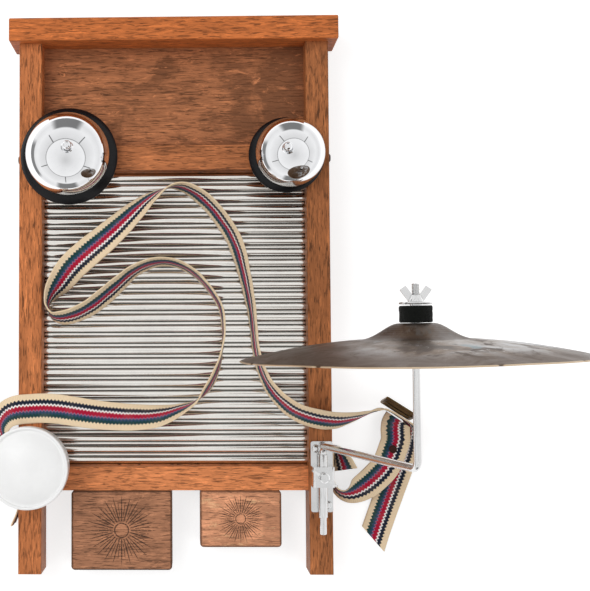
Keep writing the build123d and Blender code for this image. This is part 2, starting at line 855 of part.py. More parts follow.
def cymbal():
    """A cymbal with a shallow bow and a raised bell, turned about the mast."""
    total = cymbal_bow + cymbal_bell_height
    foot = (cymbal_bell_radius, cymbal_bow)
    flank = (cymbal_bell_radius * 0.57, cymbal_bow + cymbal_bell_height * 0.49)
    crown = (felt_radius * 1.05, total)
    top = [
        ThreePointArc((cymbal_radius, 0), (cymbal_radius * 0.68, cymbal_bow * 0.62), foot),
        ThreePointArc(foot, (cymbal_bell_radius * 0.79, cymbal_bow + cymbal_bell_height * 0.14), flank),
        ThreePointArc(flank, (cymbal_bell_radius * 0.42, cymbal_bow + cymbal_bell_height * 0.82), crown),
        Line(crown, (cymbal_bore, total)),
    ]
    under = [Pos(0, -cymbal_thickness, 0) * edge for edge in top]
    sides = [
        Line((cymbal_radius, 0), (cymbal_radius, -cymbal_thickness)),
        Line((cymbal_bore, total), (cymbal_bore, total - cymbal_thickness)),
    ]
    disc = revolve(make_face(Curve() + top + under + sides), Axis.Y)
    return rock_frame() * Pos(0, -total, 0) * disc


def washer_range():
    low = cymbal_top + stack_gap + upper_felt_height + rock_room
    return low, low + washer_thickness


def top_washer():
    low, high = washer_range()
    return mast(low, high, felt_radius) - mast(low, high, rod_radius + running_gap)


def wing_nut():
    """The nut on the mast's thread, with two raised wings."""
    low = washer_range()[1] + joint_gap
    cone = turned([
        (0, 0), (nut_radius, 0), (nut_radius, nut_height / 2), (nut_radius * 0.75, nut_height * 1.6),
        (0, nut_height * 1.6),
    ])
    wings = wing_pair(nut_radius, nut_wing_span, wing_thickness, nut_wing_height, nut_wing_slope,
                      nut_tip_round)
    nut = cone + wings - post((0, 0, 0), (0, 0, nut_wing_span), rod_radius + running_gap)
    return Plane(origin=(mast_x, low, mast_z), x_dir=(1, 0, 0), z_dir=(0, 1, 0)) * nut


# ---- tin


def tin_cup():
    outer = tin_radius - tin_wall - body_gap
    inner = outer - tin_wall
    cup = turned([(0, 0), (outer, 0), (outer, tin_cup_height), (inner, tin_cup_height), (inner, tin_wall),
                  (0, tin_wall)])
    return Pos(tin_x, tin_y, stile_depth) * cup - tin_screw()


def tin_screw():
    return Pos(tin_x, tin_y, stile_depth + tin_wall) * pan_head_screw(tin_screw_length)


def tin_lid():
    """A slip lid with a raised rolled rim round a flat face."""
    inner = tin_radius - tin_wall
    face = tin_height - tin_rim_roll
    lid = turned([
        (0, face - tin_wall), (inner, face - tin_wall), (inner, tin_height - tin_lid_depth),
        (tin_radius, tin_height - tin_lid_depth), (tin_radius, tin_height - tin_wall),
        (tin_radius - tin_wall, tin_height), (tin_radius - 2 * tin_wall, tin_height),
        (tin_radius - 3 * tin_wall, face), (0, face),
    ])
    return Pos(tin_x, tin_y, stile_depth) * lid


# ---- tone blocks


def dowels():
    """Pins that hold the tone blocks under the bottom rail."""
    z = rail_front - rail_thickness / 2
    pins = []
    for x_range in (large_block_x, small_block_x):
        for x in (x_range[0] + dowel_inset, x_range[1] - dowel_inset):
            low = bottom_rail_bottom - dowel_length / 2
            pins.append(post((x, low, z), (x, low + dowel_length, z), dowel_radius))
    return pins


def tone_block(x_range, length):
    """A hardwood block with a kerf sawn up from its lower end."""
    top = bottom_rail_bottom - block_gap
    bottom = top - length
    body = block(x_range, (bottom, top), (rail_front - block_thickness, rail_front))
    body = fillet(body.edges().filter_by(Axis.Z), block_corner)
    body = chamfer(body.faces().sort_by(Axis.Z)[-1].edges(), block_chamfer)
    middle = rail_front - block_thickness / 2
    kerf_z = (middle - block_kerf / 2, middle + block_kerf / 2)
    body -= block(x_range, (bottom, top - block_kerf_stop), kerf_z)
    for pin in dowels():
        body -= pin
    return body


# ---- strap


def across_board(x):
    """Fits a strap's place to the board's opening, and keeps it as far from a stile."""
    spare = inner_half - strap_room
    if abs(x) < strap_room:
        return x * inner_half / strap_room
    return x + math.copysign(spare, x)


def fitted(places):
    return [(across_board(x), *rest) for x, *rest in places]


def webbing_sections(places):
    """Upright rectangles across the webbing, one at each place of its route."""
    sections = []
    places = fitted(places)
    for index, (x, y, z, roll) in enumerate(places):
        before = Vector(*places[max(index - 1, 0)][:3])
        after = Vector(*places[min(index + 1, len(places) - 1)][:3])
        heading = (after - before).normalized()
        side = Vector(-heading.Y, heading.X, 0).normalized()
        up = heading.cross(side)
        across = up * math.cos(math.radians(roll)) + side * math.sin(math.radians(roll))
        plane = Plane(origin=(x, y, z), x_dir=across, z_dir=heading)
        sections.append(plane * Rectangle(webbing_width, webbing_thickness))
    return sections


def main_strap_parts():
    """The main strap as one solid for each stretch, each meeting the next face to face."""
    sections = webbing_sections([place for places in main_strap.values() for place in places])
    parts = {}
    start = 0
    for name, places in main_strap.items():
        end = start + len(places)
        parts[name] = loft(sections[start:end + 1], ruled=True)
        start = end
    parts["strap_left_loop"] -= strap_screw(-1)
    parts["strap_tail"] -= tail_waste()
    return parts


def strap_screw(sign):
    """A screw through the webbing's end into the outer side of a stile."""
    y = strap_screw_left_y if sign < 0 else strap_screw_right_y
    face = sign * (board_half + webbing_thickness + body_gap)
    return Plane(origin=(face, y, strap_screw_z), z_dir=(sign, 0, 0)) * pan_head_screw(strap_screw_length)


def rivet_height():
    heights = [z for x, y, z, roll in anchor_strap_places if (x, y) == strap_rivet_place]
    return heights[0]


def rivet_shape():
    """A two-headed rivet through the webbing."""
    x, y = fitted([strap_rivet_place])[0]
    half = webbing_thickness / 2 + body_gap
    z = rivet_height()
    body = post((x, y, z + half), (x, y, z + half + strap_rivet_rise), strap_rivet_radius)
    body += post((x, y, z - half - strap_rivet_rise), (x, y, z - half), strap_rivet_radius)
    return body + post((x, y, z - half), (x, y, z + half), strap_rivet_radius / 2)


def anchor_strap():
    band = loft(webbing_sections(anchor_strap_places), ruled=True)
    x, y = fitted([strap_rivet_place])[0]
    z = rivet_height()
    reach = webbing_thickness
    band -= post((x, y, z - reach), (x, y, z + reach), strap_rivet_radius / 2 + joint_gap)
    return band - strap_screw(1)


def tail_waste():
    """What the slanted cut takes off the strap's free end."""
    start, end = [Vector(*corner, 0) for corner in fitted([tail_cut_left, tail_cut_right])]
    along = (end - start).normalized()
    waste = Box(4 * webbing_width, 4 * webbing_width, 4 * webbing_width,
                align=(Align.CENTER, Align.MAX, Align.CENTER))
    return Plane(origin=(start + end) / 2, x_dir=along, z_dir=(0, 0, 1)) * waste


def slide_buckle():
    """A flat slide with two slots for the webbing, standing on its long edge and tipped back."""
    slot = webbing_width + 2 * body_gap
    length = slot + 2 * buckle_border
    frame = Box(length, buckle_thickness, buckle_height)
    frame = fillet(frame.edges().filter_by(Axis.Y), buckle_border * 0.8)
    gap = (buckle_height - 2 * buckle_border - buckle_bar) / 2
    for sign in (-1, 1):
        frame -= Pos(0, 0, sign * (gap + buckle_bar) / 2) * Box(slot, buckle_thickness, gap)
    place = fitted([buckle_place])[0]
    return Pos(*place) * Rot(0, 0, buckle_turn) * Rot(-buckle_tip, 0, 0) * frame


def bell_parts(bell):
    return {
        "base": bell_base(bell),
        "cover": bell_cover_plate(bell),
        "bridge": bridge(bell),
        "bushing": bushing(bell),
        "gong": gong(bell),
        "collar_nut": collar_nut(bell),
        "plunger": plunger(bell),
        "spring": plunger_spring(bell),
        "hammer": hammer(bell),
    }


def all_parts():
    """Every piece of the washboard under its own name."""
    parts = {
        "top_cap": top_cap(),
        "left_stile": stile("left"),
        "right_stile": stile("right"),
        "top_panel": top_panel(),
        "upper_cross_rail": upper_cross_rail(),
        "bottom_rail": bottom_rail(),
        "ribbed_sheet": ribbed_sheet(),
        "cap_screws": cap_screws(),
        "side_screws": side_screws(),
        "bell_standoffs": standoffs(),
        "bell_screws": bell_screws(),
        "hammer_pins": hammer_pins(),
        "clamp_plate": clamp_plate(),
        "clamp_screws": clamp_screws(),
        "clamp_saddle": clamp_saddle(),
        "clamp_sleeve": clamp_sleeve(),
        "clamp_pad": clamp_pad(),
        "wing_bolt": wing_bolt(),
        "arm_rod": arm_rod(),
        "cymbal_seat": cymbal_seat(),
        "lower_felt": felt(-cymbal_thickness - stack_gap - lower_felt_height, lower_felt_height),
        "upper_felt": felt(stack_gap, upper_felt_height),
        "cymbal": cymbal(),
        "top_washer": top_washer(),
        "wing_nut": wing_nut(),
        "tin_cup": tin_cup(),
        "tin_screw": tin_screw(),
        "tin_lid": tin_lid(),
        "large_tone_block": tone_block(large_block_x, large_block_length),
        "small_tone_block": tone_block(small_block_x, small_block_length),
        "block_dowels": Compound(dowels()),
        "strap_anchor": anchor_strap(),
        "strap_fasteners": Compound([strap_screw(-1), strap_screw(1), rivet_shape()]),
        "slide_buckle": slide_buckle(),
    }
    parts.update(main_strap_parts())
    for bell in bells:
        for piece, shape in bell_parts(bell).items():
            parts[f"{bell.name}_bell_{piece}"] = shape
    return parts


os.makedirs("parts", exist_ok=True)
to_cap = Pos(0, -(stile_top + cap_height / 2), 0)
for node, shape in all_parts().items():
    export_step(to_cap * shape, f"parts/{node}.step")
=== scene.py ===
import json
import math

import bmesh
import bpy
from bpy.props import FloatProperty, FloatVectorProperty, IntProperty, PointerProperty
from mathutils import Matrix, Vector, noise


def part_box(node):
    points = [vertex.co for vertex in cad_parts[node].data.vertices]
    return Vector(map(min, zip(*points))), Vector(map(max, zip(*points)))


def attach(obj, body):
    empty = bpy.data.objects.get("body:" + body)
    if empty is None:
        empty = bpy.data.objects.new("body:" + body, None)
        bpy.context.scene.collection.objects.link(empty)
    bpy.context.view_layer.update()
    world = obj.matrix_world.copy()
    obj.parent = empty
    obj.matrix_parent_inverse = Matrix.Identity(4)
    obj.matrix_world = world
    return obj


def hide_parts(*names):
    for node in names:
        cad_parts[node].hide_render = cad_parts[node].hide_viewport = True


bl_info = {
    "name": "Washboard Frottoir",
    "version": (1, 0, 0),
    "blender": (4, 5, 0),
    "location": "View3D > Sidebar > Washboard",
    "description": "Dresses the washboard's frame in oiled wood, steel, bronze and woven webbing",
    "category": "Add Mesh",
}

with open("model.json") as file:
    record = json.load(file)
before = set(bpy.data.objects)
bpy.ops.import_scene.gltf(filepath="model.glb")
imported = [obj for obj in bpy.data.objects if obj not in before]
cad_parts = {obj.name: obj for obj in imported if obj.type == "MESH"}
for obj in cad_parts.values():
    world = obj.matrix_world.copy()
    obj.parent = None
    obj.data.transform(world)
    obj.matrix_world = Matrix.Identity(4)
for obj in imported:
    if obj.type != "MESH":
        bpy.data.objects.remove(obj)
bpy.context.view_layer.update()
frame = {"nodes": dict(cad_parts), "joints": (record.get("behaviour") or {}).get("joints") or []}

BOARD_MIDDLE = Vector((0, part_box("left_stile")[0].y + 0.2405, 0))
SIDES = ("left", "right")

# The webbing's route: x, y and z in metres from the middle of the board's
# back, and the roll in degrees, where 0 stands on edge and 90 lies flat.
MAIN_STRAP = [
    (-0.1428, -0.2005, 0.015, 0), (-0.1383, -0.19, 0.015, 0), (-0.1366, -0.181, 0.015, 0),
    (-0.1368, -0.168, 0.0155, 0),
    (-0.1405, -0.154, 0.016, -5), (-0.1465, -0.141, 0.017, -10), (-0.1505, -0.127, 0.019, -22),
    (-0.1523, -0.113, 0.027, -45), (-0.1453, -0.103, 0.036, -68), (-0.1365, -0.0995, 0.0386, -83),
    (-0.126, -0.0985, 0.0371, -90), (-0.113, -0.098, 0.0371, -90), (-0.099, -0.099, 0.0369, -87),
    (-0.086, -0.101, 0.0365, -80), (-0.065, -0.104, 0.035, -72), (-0.037, -0.106, 0.0335, -60),
    (-0.015, -0.105, 0.0325, -45), (0.003, -0.1, 0.0315, -22), (0.018, -0.093, 0.031, -2),
    (0.028, -0.082, 0.031, 14), (0.036, -0.067, 0.031, 12), (0.041, -0.05, 0.031, 3),
    (0.043, -0.03, 0.031, -3), (0.04, -0.01, 0.031, -6), (0.033, 0.0019, 0.031, -8),
    (0.021, 0.0161, 0.031, -9), (0.007, 0.0256, 0.031, -10), (-0.009, 0.0294, 0.031, -12),
    (-0.024, 0.0266, 0.031, -16), (-0.037, 0.0199, 0.031, -20), (-0.048, 0.0104, 0.031, -26),
    (-0.06, 0.0, 0.031, -30), (-0.073, -0.01, 0.031, -30), (-0.087, -0.017, 0.031, -28),
    (-0.099, -0.0195, 0.031, -24), (-0.107, -0.0175, 0.031, -12), (-0.111, -0.009, 0.031, 0),
    (-0.108, 0.0, 0.0315, 20), (-0.1, 0.011, 0.0325, 50), (-0.089, 0.025, 0.034, 74),
    (-0.075, 0.0376, 0.035, 90), (-0.061, 0.0491, 0.0355, 102), (-0.047, 0.0616, 0.035, 116),
    (-0.034, 0.074, 0.0335, 132), (-0.022, 0.0845, 0.032, 150), (-0.01, 0.0922, 0.031, 168),
    (-0.001, 0.0955, 0.031, 180), (0.007, 0.095, 0.031, 190), (0.015, 0.0917, 0.031, 197),
    (0.024, 0.0855, 0.031, 203), (0.033, 0.0769, 0.031, 205), (0.042, 0.0654, 0.031, 206),
    (0.05, 0.0529, 0.031, 206), (0.056, 0.0386, 0.031, 206), (0.0615, 0.017, 0.031, 200),
    (0.065, 0.0, 0.031, 196), (0.0675, -0.015, 0.031, 192), (0.069, -0.03, 0.031, 190),
    (0.071, -0.048, 0.031, 190), (0.074, -0.061, 0.031, 192), (0.079, -0.074, 0.0315, 196),
    (0.085, -0.084, 0.033, 202), (0.093, -0.093, 0.0375, 208), (0.102, -0.1, 0.0435, 214),
    (0.112, -0.1045, 0.048, 218), (0.124, -0.1075, 0.049, 220), (0.138, -0.109, 0.0465, 216),
    (0.151, -0.108, 0.038, 206), (0.163, -0.1055, 0.028, 194), (0.174, -0.102, 0.02, 184),
    (0.183, -0.1005, 0.0165, 180), (0.1905, -0.103, 0.0155, 180), (0.1975, -0.1073, 0.015, 180),
    (0.2035, -0.1113, 0.0145, 182), (0.207, -0.1155, 0.0135, 195), (0.2066, -0.122, 0.0115, 218),
    (0.2045, -0.1295, 0.008, 240), (0.2025, -0.138, 0.005, 257), (0.1995, -0.148, 0.0029, 268),
    (0.196, -0.158, 0.0015, 270), (0.1905, -0.1725, 0.0012, 270), (0.185, -0.187, 0.0012, 270),
    (0.1784, -0.205, 0.0012, 270), (0.1719, -0.2245, 0.0012, 270),
]
ANCHOR_STRAP = [
    (0.149, -0.153, 0.017, -48), (0.146, -0.144, 0.018, -35), (0.1429, -0.1355, 0.019, -14),
    (0.141, -0.1325, 0.019, -4), (0.1388, -0.1324, 0.019, 0), (0.1372, -0.1355, 0.019, 0),
    (0.1366, -0.146, 0.0185, 0), (0.1368, -0.158, 0.018, 0), (0.1392, -0.167, 0.017, 4),
    (0.145, -0.1726, 0.0155, 20), (0.154, -0.1734, 0.014, 50), (0.165, -0.1685, 0.013, 76),
    (0.176, -0.16, 0.012, 88), (0.185, -0.15, 0.012, 90), (0.1912, -0.1355, 0.012, 90),
    (0.1938, -0.127, 0.0124, 94), (0.1934, -0.1185, 0.014, 104), (0.1938, -0.113, 0.0155, 111),
    (0.1957, -0.1093, 0.0165, 115),
]
TAIL_CUT = ((0.1632, -0.2022), (0.187, -0.23))
STRAP_NODES = (
    "strap_left_loop", "strap_left_run", "strap_inner_arch", "strap_fold", "strap_outer_rise",
    "strap_outer_fall", "strap_right_run", "strap_tail",
)


def colour(name, description, default):
    return FloatVectorProperty(
        name=name, description=description, default=default, size=3, min=0.0, max=1.0, subtype="COLOR"
    )


def length(name, description, default):
    return FloatProperty(name=name, description=description, default=default, min=0.0, unit="LENGTH", precision=5)


def share(name, description, default):
    return FloatProperty(name=name, description=description, default=default, min=0.0, max=1.0, subtype="FACTOR")


class WashboardWood(bpy.types.PropertyGroup):
    """Colours and pore sizes of the board's timber."""

    cap: colour("Cap", "Timber across the top", (0.55, 0.155, 0.040))
    left_stile: colour("Left stile", "Timber of the left side", (0.49, 0.162, 0.054))
    right_stile: colour("Right stile", "Timber of the right side", (0.36, 0.125, 0.042))
    rails: colour("Rails", "Timber of the cross rails", (0.53, 0.182, 0.066))
    panel: colour("Panel", "Stained timber of the top panel", (0.36, 0.135, 0.056))
    large_block: colour("Large block", "Timber of the large tone block", (0.38, 0.17, 0.09))
    small_block: colour("Small block", "Timber of the small tone block", (0.70, 0.315, 0.17))
    burn: colour("Engraving", "Burnt lines on the tone blocks", (0.035, 0.02, 0.014))
    pore_depth: length("Pore depth", "How deep the open pores are", 0.00012)
    rays: IntProperty(name="Rays", description="Rays in each engraved burst", default=24, min=6, max=90)


class WashboardMetal(bpy.types.PropertyGroup):
    """Colours and sizes of the sheet, the bells and the small hardware."""

    steel: colour("Steel", "Ribbed sheet", (0.93, 0.90, 0.85))
    chrome: colour("Chrome", "Gongs and their buttons", (0.90, 0.905, 0.92))
    zinc: colour("Zinc", "Arm and clamp", (0.80, 0.80, 0.80))
    enamel: colour("Enamel", "Black bases of the bells", (0.004, 0.004, 0.005))
    dark_screw: colour("Dark screws", "Dome-headed screws in the stiles", (0.05, 0.022, 0.018))
    tin: colour("Tin", "Round tin and its lid", (0.96, 0.96, 0.955))
    brass: colour("Aged brass", "Buckle", (0.17, 0.105, 0.045))
    rib_height: length("Rib height", "Height of the ribs of the sheet", 0.0028)
    rib_count: IntProperty(name="Ribs", description="Ribs across the sheet", default=27, min=4, max=80)
    crest_share: share("Crest share", "How much of a rib is its broad crest", 0.7)
    sheet_thickness: length("Sheet thickness", "Gauge of the ribbed sheet", 0.0006)
    left_gong: length("Left gong", "Radius of the left gong", 0.0363)
    right_gong: length("Right gong", "Radius of the right gong", 0.0299)
    left_dome: length("Left dome", "Height of the left gong", 0.025)
    right_dome: length("Right dome", "Height of the right gong", 0.0215)
    gong_wall: length("Gong wall", "Thickness of the gongs", 0.0009)
    thread_pitch: length("Thread pitch", "Pitch of the stud's thread", 0.001)


class WashboardCymbal(bpy.types.PropertyGroup):
    """Shape and patina of the cymbal and its felts."""

    radius: length("Radius", "Radius of the cymbal", 0.127)
    bell_radius: length("Bell radius", "Radius of the raised middle", 0.0436)
    bow: length("Bow", "Rise from the rim to the bell", 0.0138)
    bell_height: length("Bell height", "Rise of the bell above the bow", 0.0116)
    thickness: length("Thickness", "Gauge of the cymbal", 0.001)
    bore: length("Bore", "Radius of the middle hole", 0.00625)
    groove: length("Groove", "Spacing of the lathed grooves", 0.0011)
    chips: IntProperty(name="Chips", description="Nicks round the rim", default=9, min=0, max=40)
    brown: colour("Brown", "Dark patina", (0.060, 0.034, 0.019))
    bronze: colour("Bronze", "Middle patina", (0.20, 0.135, 0.088))
    pale: colour("Pale", "Worn, greyish patches", (0.50, 0.49, 0.49))
    verdigris: colour("Verdigris", "Cool grey-green patches", (0.22, 0.27, 0.29))
    rim: colour("Rim", "Bare bronze round the rim", (0.62, 0.47, 0.31))
    felt: colour("Felt", "Black felt washers", (0.006, 0.007, 0.006))


class WashboardStrap(bpy.types.PropertyGroup):
    """Cut and colours of the striped webbing."""

    width: length("Width", "Width of the webbing", 0.025)
    thickness: length("Thickness", "Thickness of the webbing", 0.0015)
    main_length: length("Main length", "Flat length of the main strap", 1.137)
    anchor_length: length("Anchor length", "Flat length of the anchor strap", 0.157)
    zigzag: length("Zigzag", "Pitch of the stripes' toothed edges", 0.0030)
    tooth: share("Tooth", "Height of the teeth as a share of the width", 0.064)
    cream: colour("Cream", "Both outer stripes", (0.93, 0.73, 0.49))
    navy: colour("Navy", "Dark blue stripe", (0.012, 0.018, 0.036))
    white: colour("White", "Thin white stripe", (0.95, 0.90, 0.88))
    crimson: colour("Crimson", "Red stripe", (0.46, 0.008, 0.040))
    mauve: colour("Mauve", "Thin purple line", (0.30, 0.15, 0.27))
    blue: colour("Blue", "Blue half of the stripe beside the red", (0.028, 0.070, 0.135))
    teal: colour("Teal", "Green half of that stripe", (0.012, 0.055, 0.058))


class WashboardStage(bpy.types.PropertyGroup):
    """Camera, lamps and floor."""

    eye: FloatVectorProperty(
        name="Eye", description="Camera, from the middle of the board's back",
        default=(0.0134, -0.052, 1.029), size=3, unit="LENGTH",
    )
    pitch: FloatProperty(name="Pitch", description="Tip of the camera towards the cap",
                         default=math.radians(2.84), subtype="ANGLE")
    turn: FloatProperty(name="Turn", description="Turn of the camera towards the tin",
                        default=math.radians(1.41), subtype="ANGLE")
    roll: FloatProperty(name="Roll", description="Roll of the camera about its line of sight",
                        default=math.radians(-0.19), subtype="ANGLE")
    lens: FloatProperty(name="Lens", description="Focal length in millimetres", default=69.755)
    shift: FloatVectorProperty(name="Shift", description="Sideways and upward shift of the lens",
                               default=(0.2255, 0.0038), size=2)
    floor: colour("Floor", "Plain floor", (0.50, 0.50, 0.50))
    glow: share("Glow", "White that the camera sees on the floor beside the lamps' light", 0.70)
    sky: FloatProperty(name="Sky", description="Strength of the even light", default=0.62)
    key: FloatProperty(name="Key", description="Strength of the large lamp in watts", default=17.0)


class Wiring:
    """Nodes of a material or a sky, wired one call at a time."""

    def __init__(self, tree):
        self.nodes = tree.nodes
        self.links = tree.links
        self.where = self.nodes.new("ShaderNodeTexCoord")

    def node(self, kind, values, **settings):
        """A node with its settings and its inputs, which are numbers or other nodes' outputs."""
        made = self.nodes.new(kind)
        for name, value in settings.items():
            setattr(made, name, value)
        for key, value in values.items():
            if isinstance(value, bpy.types.NodeSocket):
                self.links.new(value, made.inputs[key])
            else:
                made.inputs[key].default_value = value
        return made

    def spot(self, stretch=(1, 1, 1), shift=(0, 0, 0)):
        """Places in the piece's own space, stretched along its axes."""
        mapping = self.node("ShaderNodeMapping", {"Vector": self.where.outputs["Object"]})
        mapping.inputs["Scale"].default_value = stretch
        mapping.inputs["Location"].default_value = shift
        return mapping.outputs["Vector"]

    def axes(self, vector):
        return self.node("ShaderNodeSeparateXYZ", {"Vector": vector}).outputs

    def noise(self, vector, scale, detail=3.0, roughness=0.5, distortion=0.0):
        values = {"Vector": vector, "Scale": scale, "Detail": detail,
                  "Roughness": roughness, "Distortion": distortion}
        return self.node("ShaderNodeTexNoise", values).outputs["Fac"]

    def sum(self, operation, first, second=0.0, third=0.0):
        return self.node("ShaderNodeMath", {0: first, 1: second, 2: third}, operation=operation).outputs[0]

    def between(self, value, low, high):
        """0 below low, 1 above high and smooth between them."""
        values = {"Value": value, "From Min": low, "From Max": high}
        return self.node("ShaderNodeMapRange", values, interpolation_type="SMOOTHSTEP").outputs["Result"]

    def mix(self, factor, first, second, blend="MIX"):
        values = {0: factor, 6: opaque(first), 7: opaque(second)}
        return self.node("ShaderNodeMix", values, data_type="RGBA", blend_type=blend).outputs[2]

    def ramp(self, value, stops, interpolation="LINEAR"):
        made = self.node("ShaderNodeValToRGB", {"Fac": value})
        made.color_ramp.interpolation = interpolation
        elements = made.color_ramp.elements
        while len(elements) < len(stops):
            elements.new(1.0)
        for element, (position, shade) in zip(elements, stops):
            element.position = position
            element.color = opaque(shade)
        return made.outputs["Color"]

    def length(self, x, y):
        return self.sum("SQRT", self.sum("ADD", self.sum("MULTIPLY", x, x), self.sum("MULTIPLY", y, y)))


class Finish(Wiring):
    """A material built up on one glossy or matt surface."""

    def __init__(self, name, metallic=0.0, roughness=0.5, gloss=0.5, sheen=0.0):
        self.material = bpy.data.materials.new(name)
        self.material.use_nodes = True
        super().__init__(self.material.node_tree)
        self.shader = self.nodes["Principled BSDF"]
        self.shader.inputs["Metallic"].default_value = metallic
        self.shader.inputs["Roughness"].default_value = roughness
        self.shader.inputs["Specular IOR Level"].default_value = gloss
        self.shader.inputs["Sheen Weight"].default_value = sheen

    def paint(self, base, roughness=None):
        self.links.new(base, self.shader.inputs["Base Color"])
        if roughness is not None:
            self.links.new(roughness, self.shader.inputs["Roughness"])
        return self

    def emboss(self, *layers):
        """Bumps one over another, each a height between 0 and 1 and its depth in metres."""
        normal = None
        for height, depth in layers:
            values = {"Height": height, "Distance": depth, "Strength": 1.0}
            if normal is not None:
                values["Normal"] = normal
            normal = self.node("ShaderNodeBump", values).outputs["Normal"]
        self.links.new(normal, self.shader.inputs["Normal"])
        return self


def opaque(value):
    if isinstance(value, bpy.types.NodeSocket):
        return value
    if isinstance(value, (int, float)):
        return (value, value, value, 1.0)
    return (*value, 1.0) if len(value) == 3 else tuple(value)


def tint(base, factor):
    return tuple(min(1.0, part * factor) for part in base)


def wood_finish(name, base, along, pores, stain=0.0, burn=None, singed=None):
    """Open-grained timber: slow bands, wavy streaks and short dark pores along one axis."""
    finish = Finish(name, roughness=0.5, gloss=0.25)
    shift = (0.37 * len(name), 0.11 * len(name), 0.05)

    def grained(share):
        stretch = [1.0, 1.0, 1.0]
        stretch[along] = share
        return finish.spot(stretch, shift)

    bands = finish.noise(grained(0.12), 55.0, 3.0, 0.5, 0.6)
    streaks = finish.noise(grained(0.13), 420.0, 5.0, 0.68, 0.5)
    fibres = finish.noise(grained(0.05), 1500.0, 3.0, 0.6)
    flecks = finish.noise(grained(0.07), 1300.0, 2.0, 0.5, 0.3)
    shade = finish.ramp(bands, [(0.30, tint(base, 0.78)), (0.52, base), (0.75, tint(base, 1.22))])
    shade = finish.mix(finish.between(streaks, 0.52, 0.66), shade, finish.mix(1.0, shade, 0.46, "MULTIPLY"))
    shade = finish.mix(finish.between(streaks, 0.47, 0.34), shade, finish.mix(1.0, shade, 1.42, "MULTIPLY"))
    shade = finish.mix(finish.sum("MULTIPLY", finish.between(fibres, 0.40, 0.70), 0.35), shade,
                       finish.mix(1.0, shade, 1.4, "MULTIPLY"))
    pore = finish.between(flecks, 0.58, 0.65)
    shade = finish.mix(finish.sum("MULTIPLY", pore, 0.80), shade, tint(base, 0.20))
    layers = [(streaks, pores * 0.6), (finish.sum("SUBTRACT", 1.0, pore), pores)]
    if stain > 0.0:
        patches = finish.noise(finish.spot((0.7, 1.0, 1.0), shift), 30.0, 6.0, 0.65, 0.8)
        patches = finish.sum("MULTIPLY_ADD", finish.axes(finish.spot())[0], 1.2, patches)
        shade = finish.mix(finish.sum("MULTIPLY", finish.between(patches, 0.47, 0.62), stain), shade,
                           tint(base, 0.45))
        rubbed = finish.noise(grained(0.30), 150.0, 8.0, 0.75, 0.9)
        shade = finish.mix(finish.sum("MULTIPLY", finish.between(rubbed, 0.55, 0.68), stain), shade,
                           tint(base, 2.1))
    if burn is not None:
        mask, soot = burn(finish)
        shade = finish.mix(mask, shade, soot)
        layers.append((finish.sum("SUBTRACT", 1.0, mask), 0.0002))
    if singed is not None:
        shade = finish.mix(singed(finish), shade, tint(base, 0.22))
    rough = finish.sum("MULTIPLY_ADD", fibres, 0.25, 0.40)
    return finish.paint(shade, rough).emboss(*layers).material


def singed_edge(low, high):
    """A scorched border round the front of a block, broken up by wear."""
    def scorch(finish):
        x, y, _ = finish.axes(finish.spot())
        wear = finish.sum("MULTIPLY", finish.noise(finish.spot(), 300.0, 4.0, 0.6), 0.0022)
        inset = 0.0005
        sides = [finish.sum("SUBTRACT", x, low.x + inset), finish.sum("SUBTRACT", high.x - inset, x),
                 finish.sum("SUBTRACT", y, low.y + inset), finish.sum("SUBTRACT", high.y - inset, y)]
        near = finish.sum("MINIMUM", finish.sum("MINIMUM", sides[0], sides[1]),
                          finish.sum("MINIMUM", sides[2], sides[3]))
        return finish.sum("MULTIPLY", finish.between(finish.sum("SUBTRACT", near, wear), 0.0006, -0.0006), 0.8)
    return scorch


def ray_burst(middle, reach, rays, soot):
    """An engraving: long and short tapered rays round an open ring, with rubbed gaps."""
    def engrave(finish):
        x, y, z = finish.axes(finish.spot((1.0, 1.0, 1.0), (-middle.x, -middle.y, 0.0)))
        radius = finish.length(x, y)
        angle = finish.sum("ARCTAN2", y, x)
        step = finish.sum("MULTIPLY", angle, rays / (2 * math.pi))
        long_ray = finish.sum("PINGPONG", step, 0.5)
        short_ray = finish.sum("PINGPONG", finish.sum("ADD", step, 0.5), 0.5)
        grow = finish.sum("DIVIDE", radius, reach)
        taper = finish.sum("MULTIPLY", finish.sum("SUBTRACT", 1.0, grow), 0.30)
        long_mask = finish.sum("LESS_THAN", long_ray, taper)
        short_mask = finish.sum("LESS_THAN", short_ray, finish.sum("MULTIPLY", taper, 0.55))
        long_mask = finish.sum("MULTIPLY", long_mask, finish.sum("GREATER_THAN", grow, 0.26))
        short_mask = finish.sum("MULTIPLY", short_mask, finish.sum("GREATER_THAN", grow, 0.40))
        short_mask = finish.sum("MULTIPLY", short_mask, finish.sum("LESS_THAN", grow, 0.80))
        ring = finish.sum("COMPARE", grow, 0.20, 0.018)
        mask = finish.sum("MAXIMUM", finish.sum("MAXIMUM", long_mask, short_mask), ring)
        worn = finish.noise(finish.spot((1.0, 1.0, 1.0)), 900.0, 4.0, 0.7)
        mask = finish.sum("MULTIPLY", mask, finish.between(worn, 0.34, 0.52))
        top = finish.sum("GREATER_THAN", z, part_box("large_tone_block")[1].z - 0.0005)
        return finish.sum("MULTIPLY", mask, finish.sum("MULTIPLY", top, 0.85)), soot
    return engrave


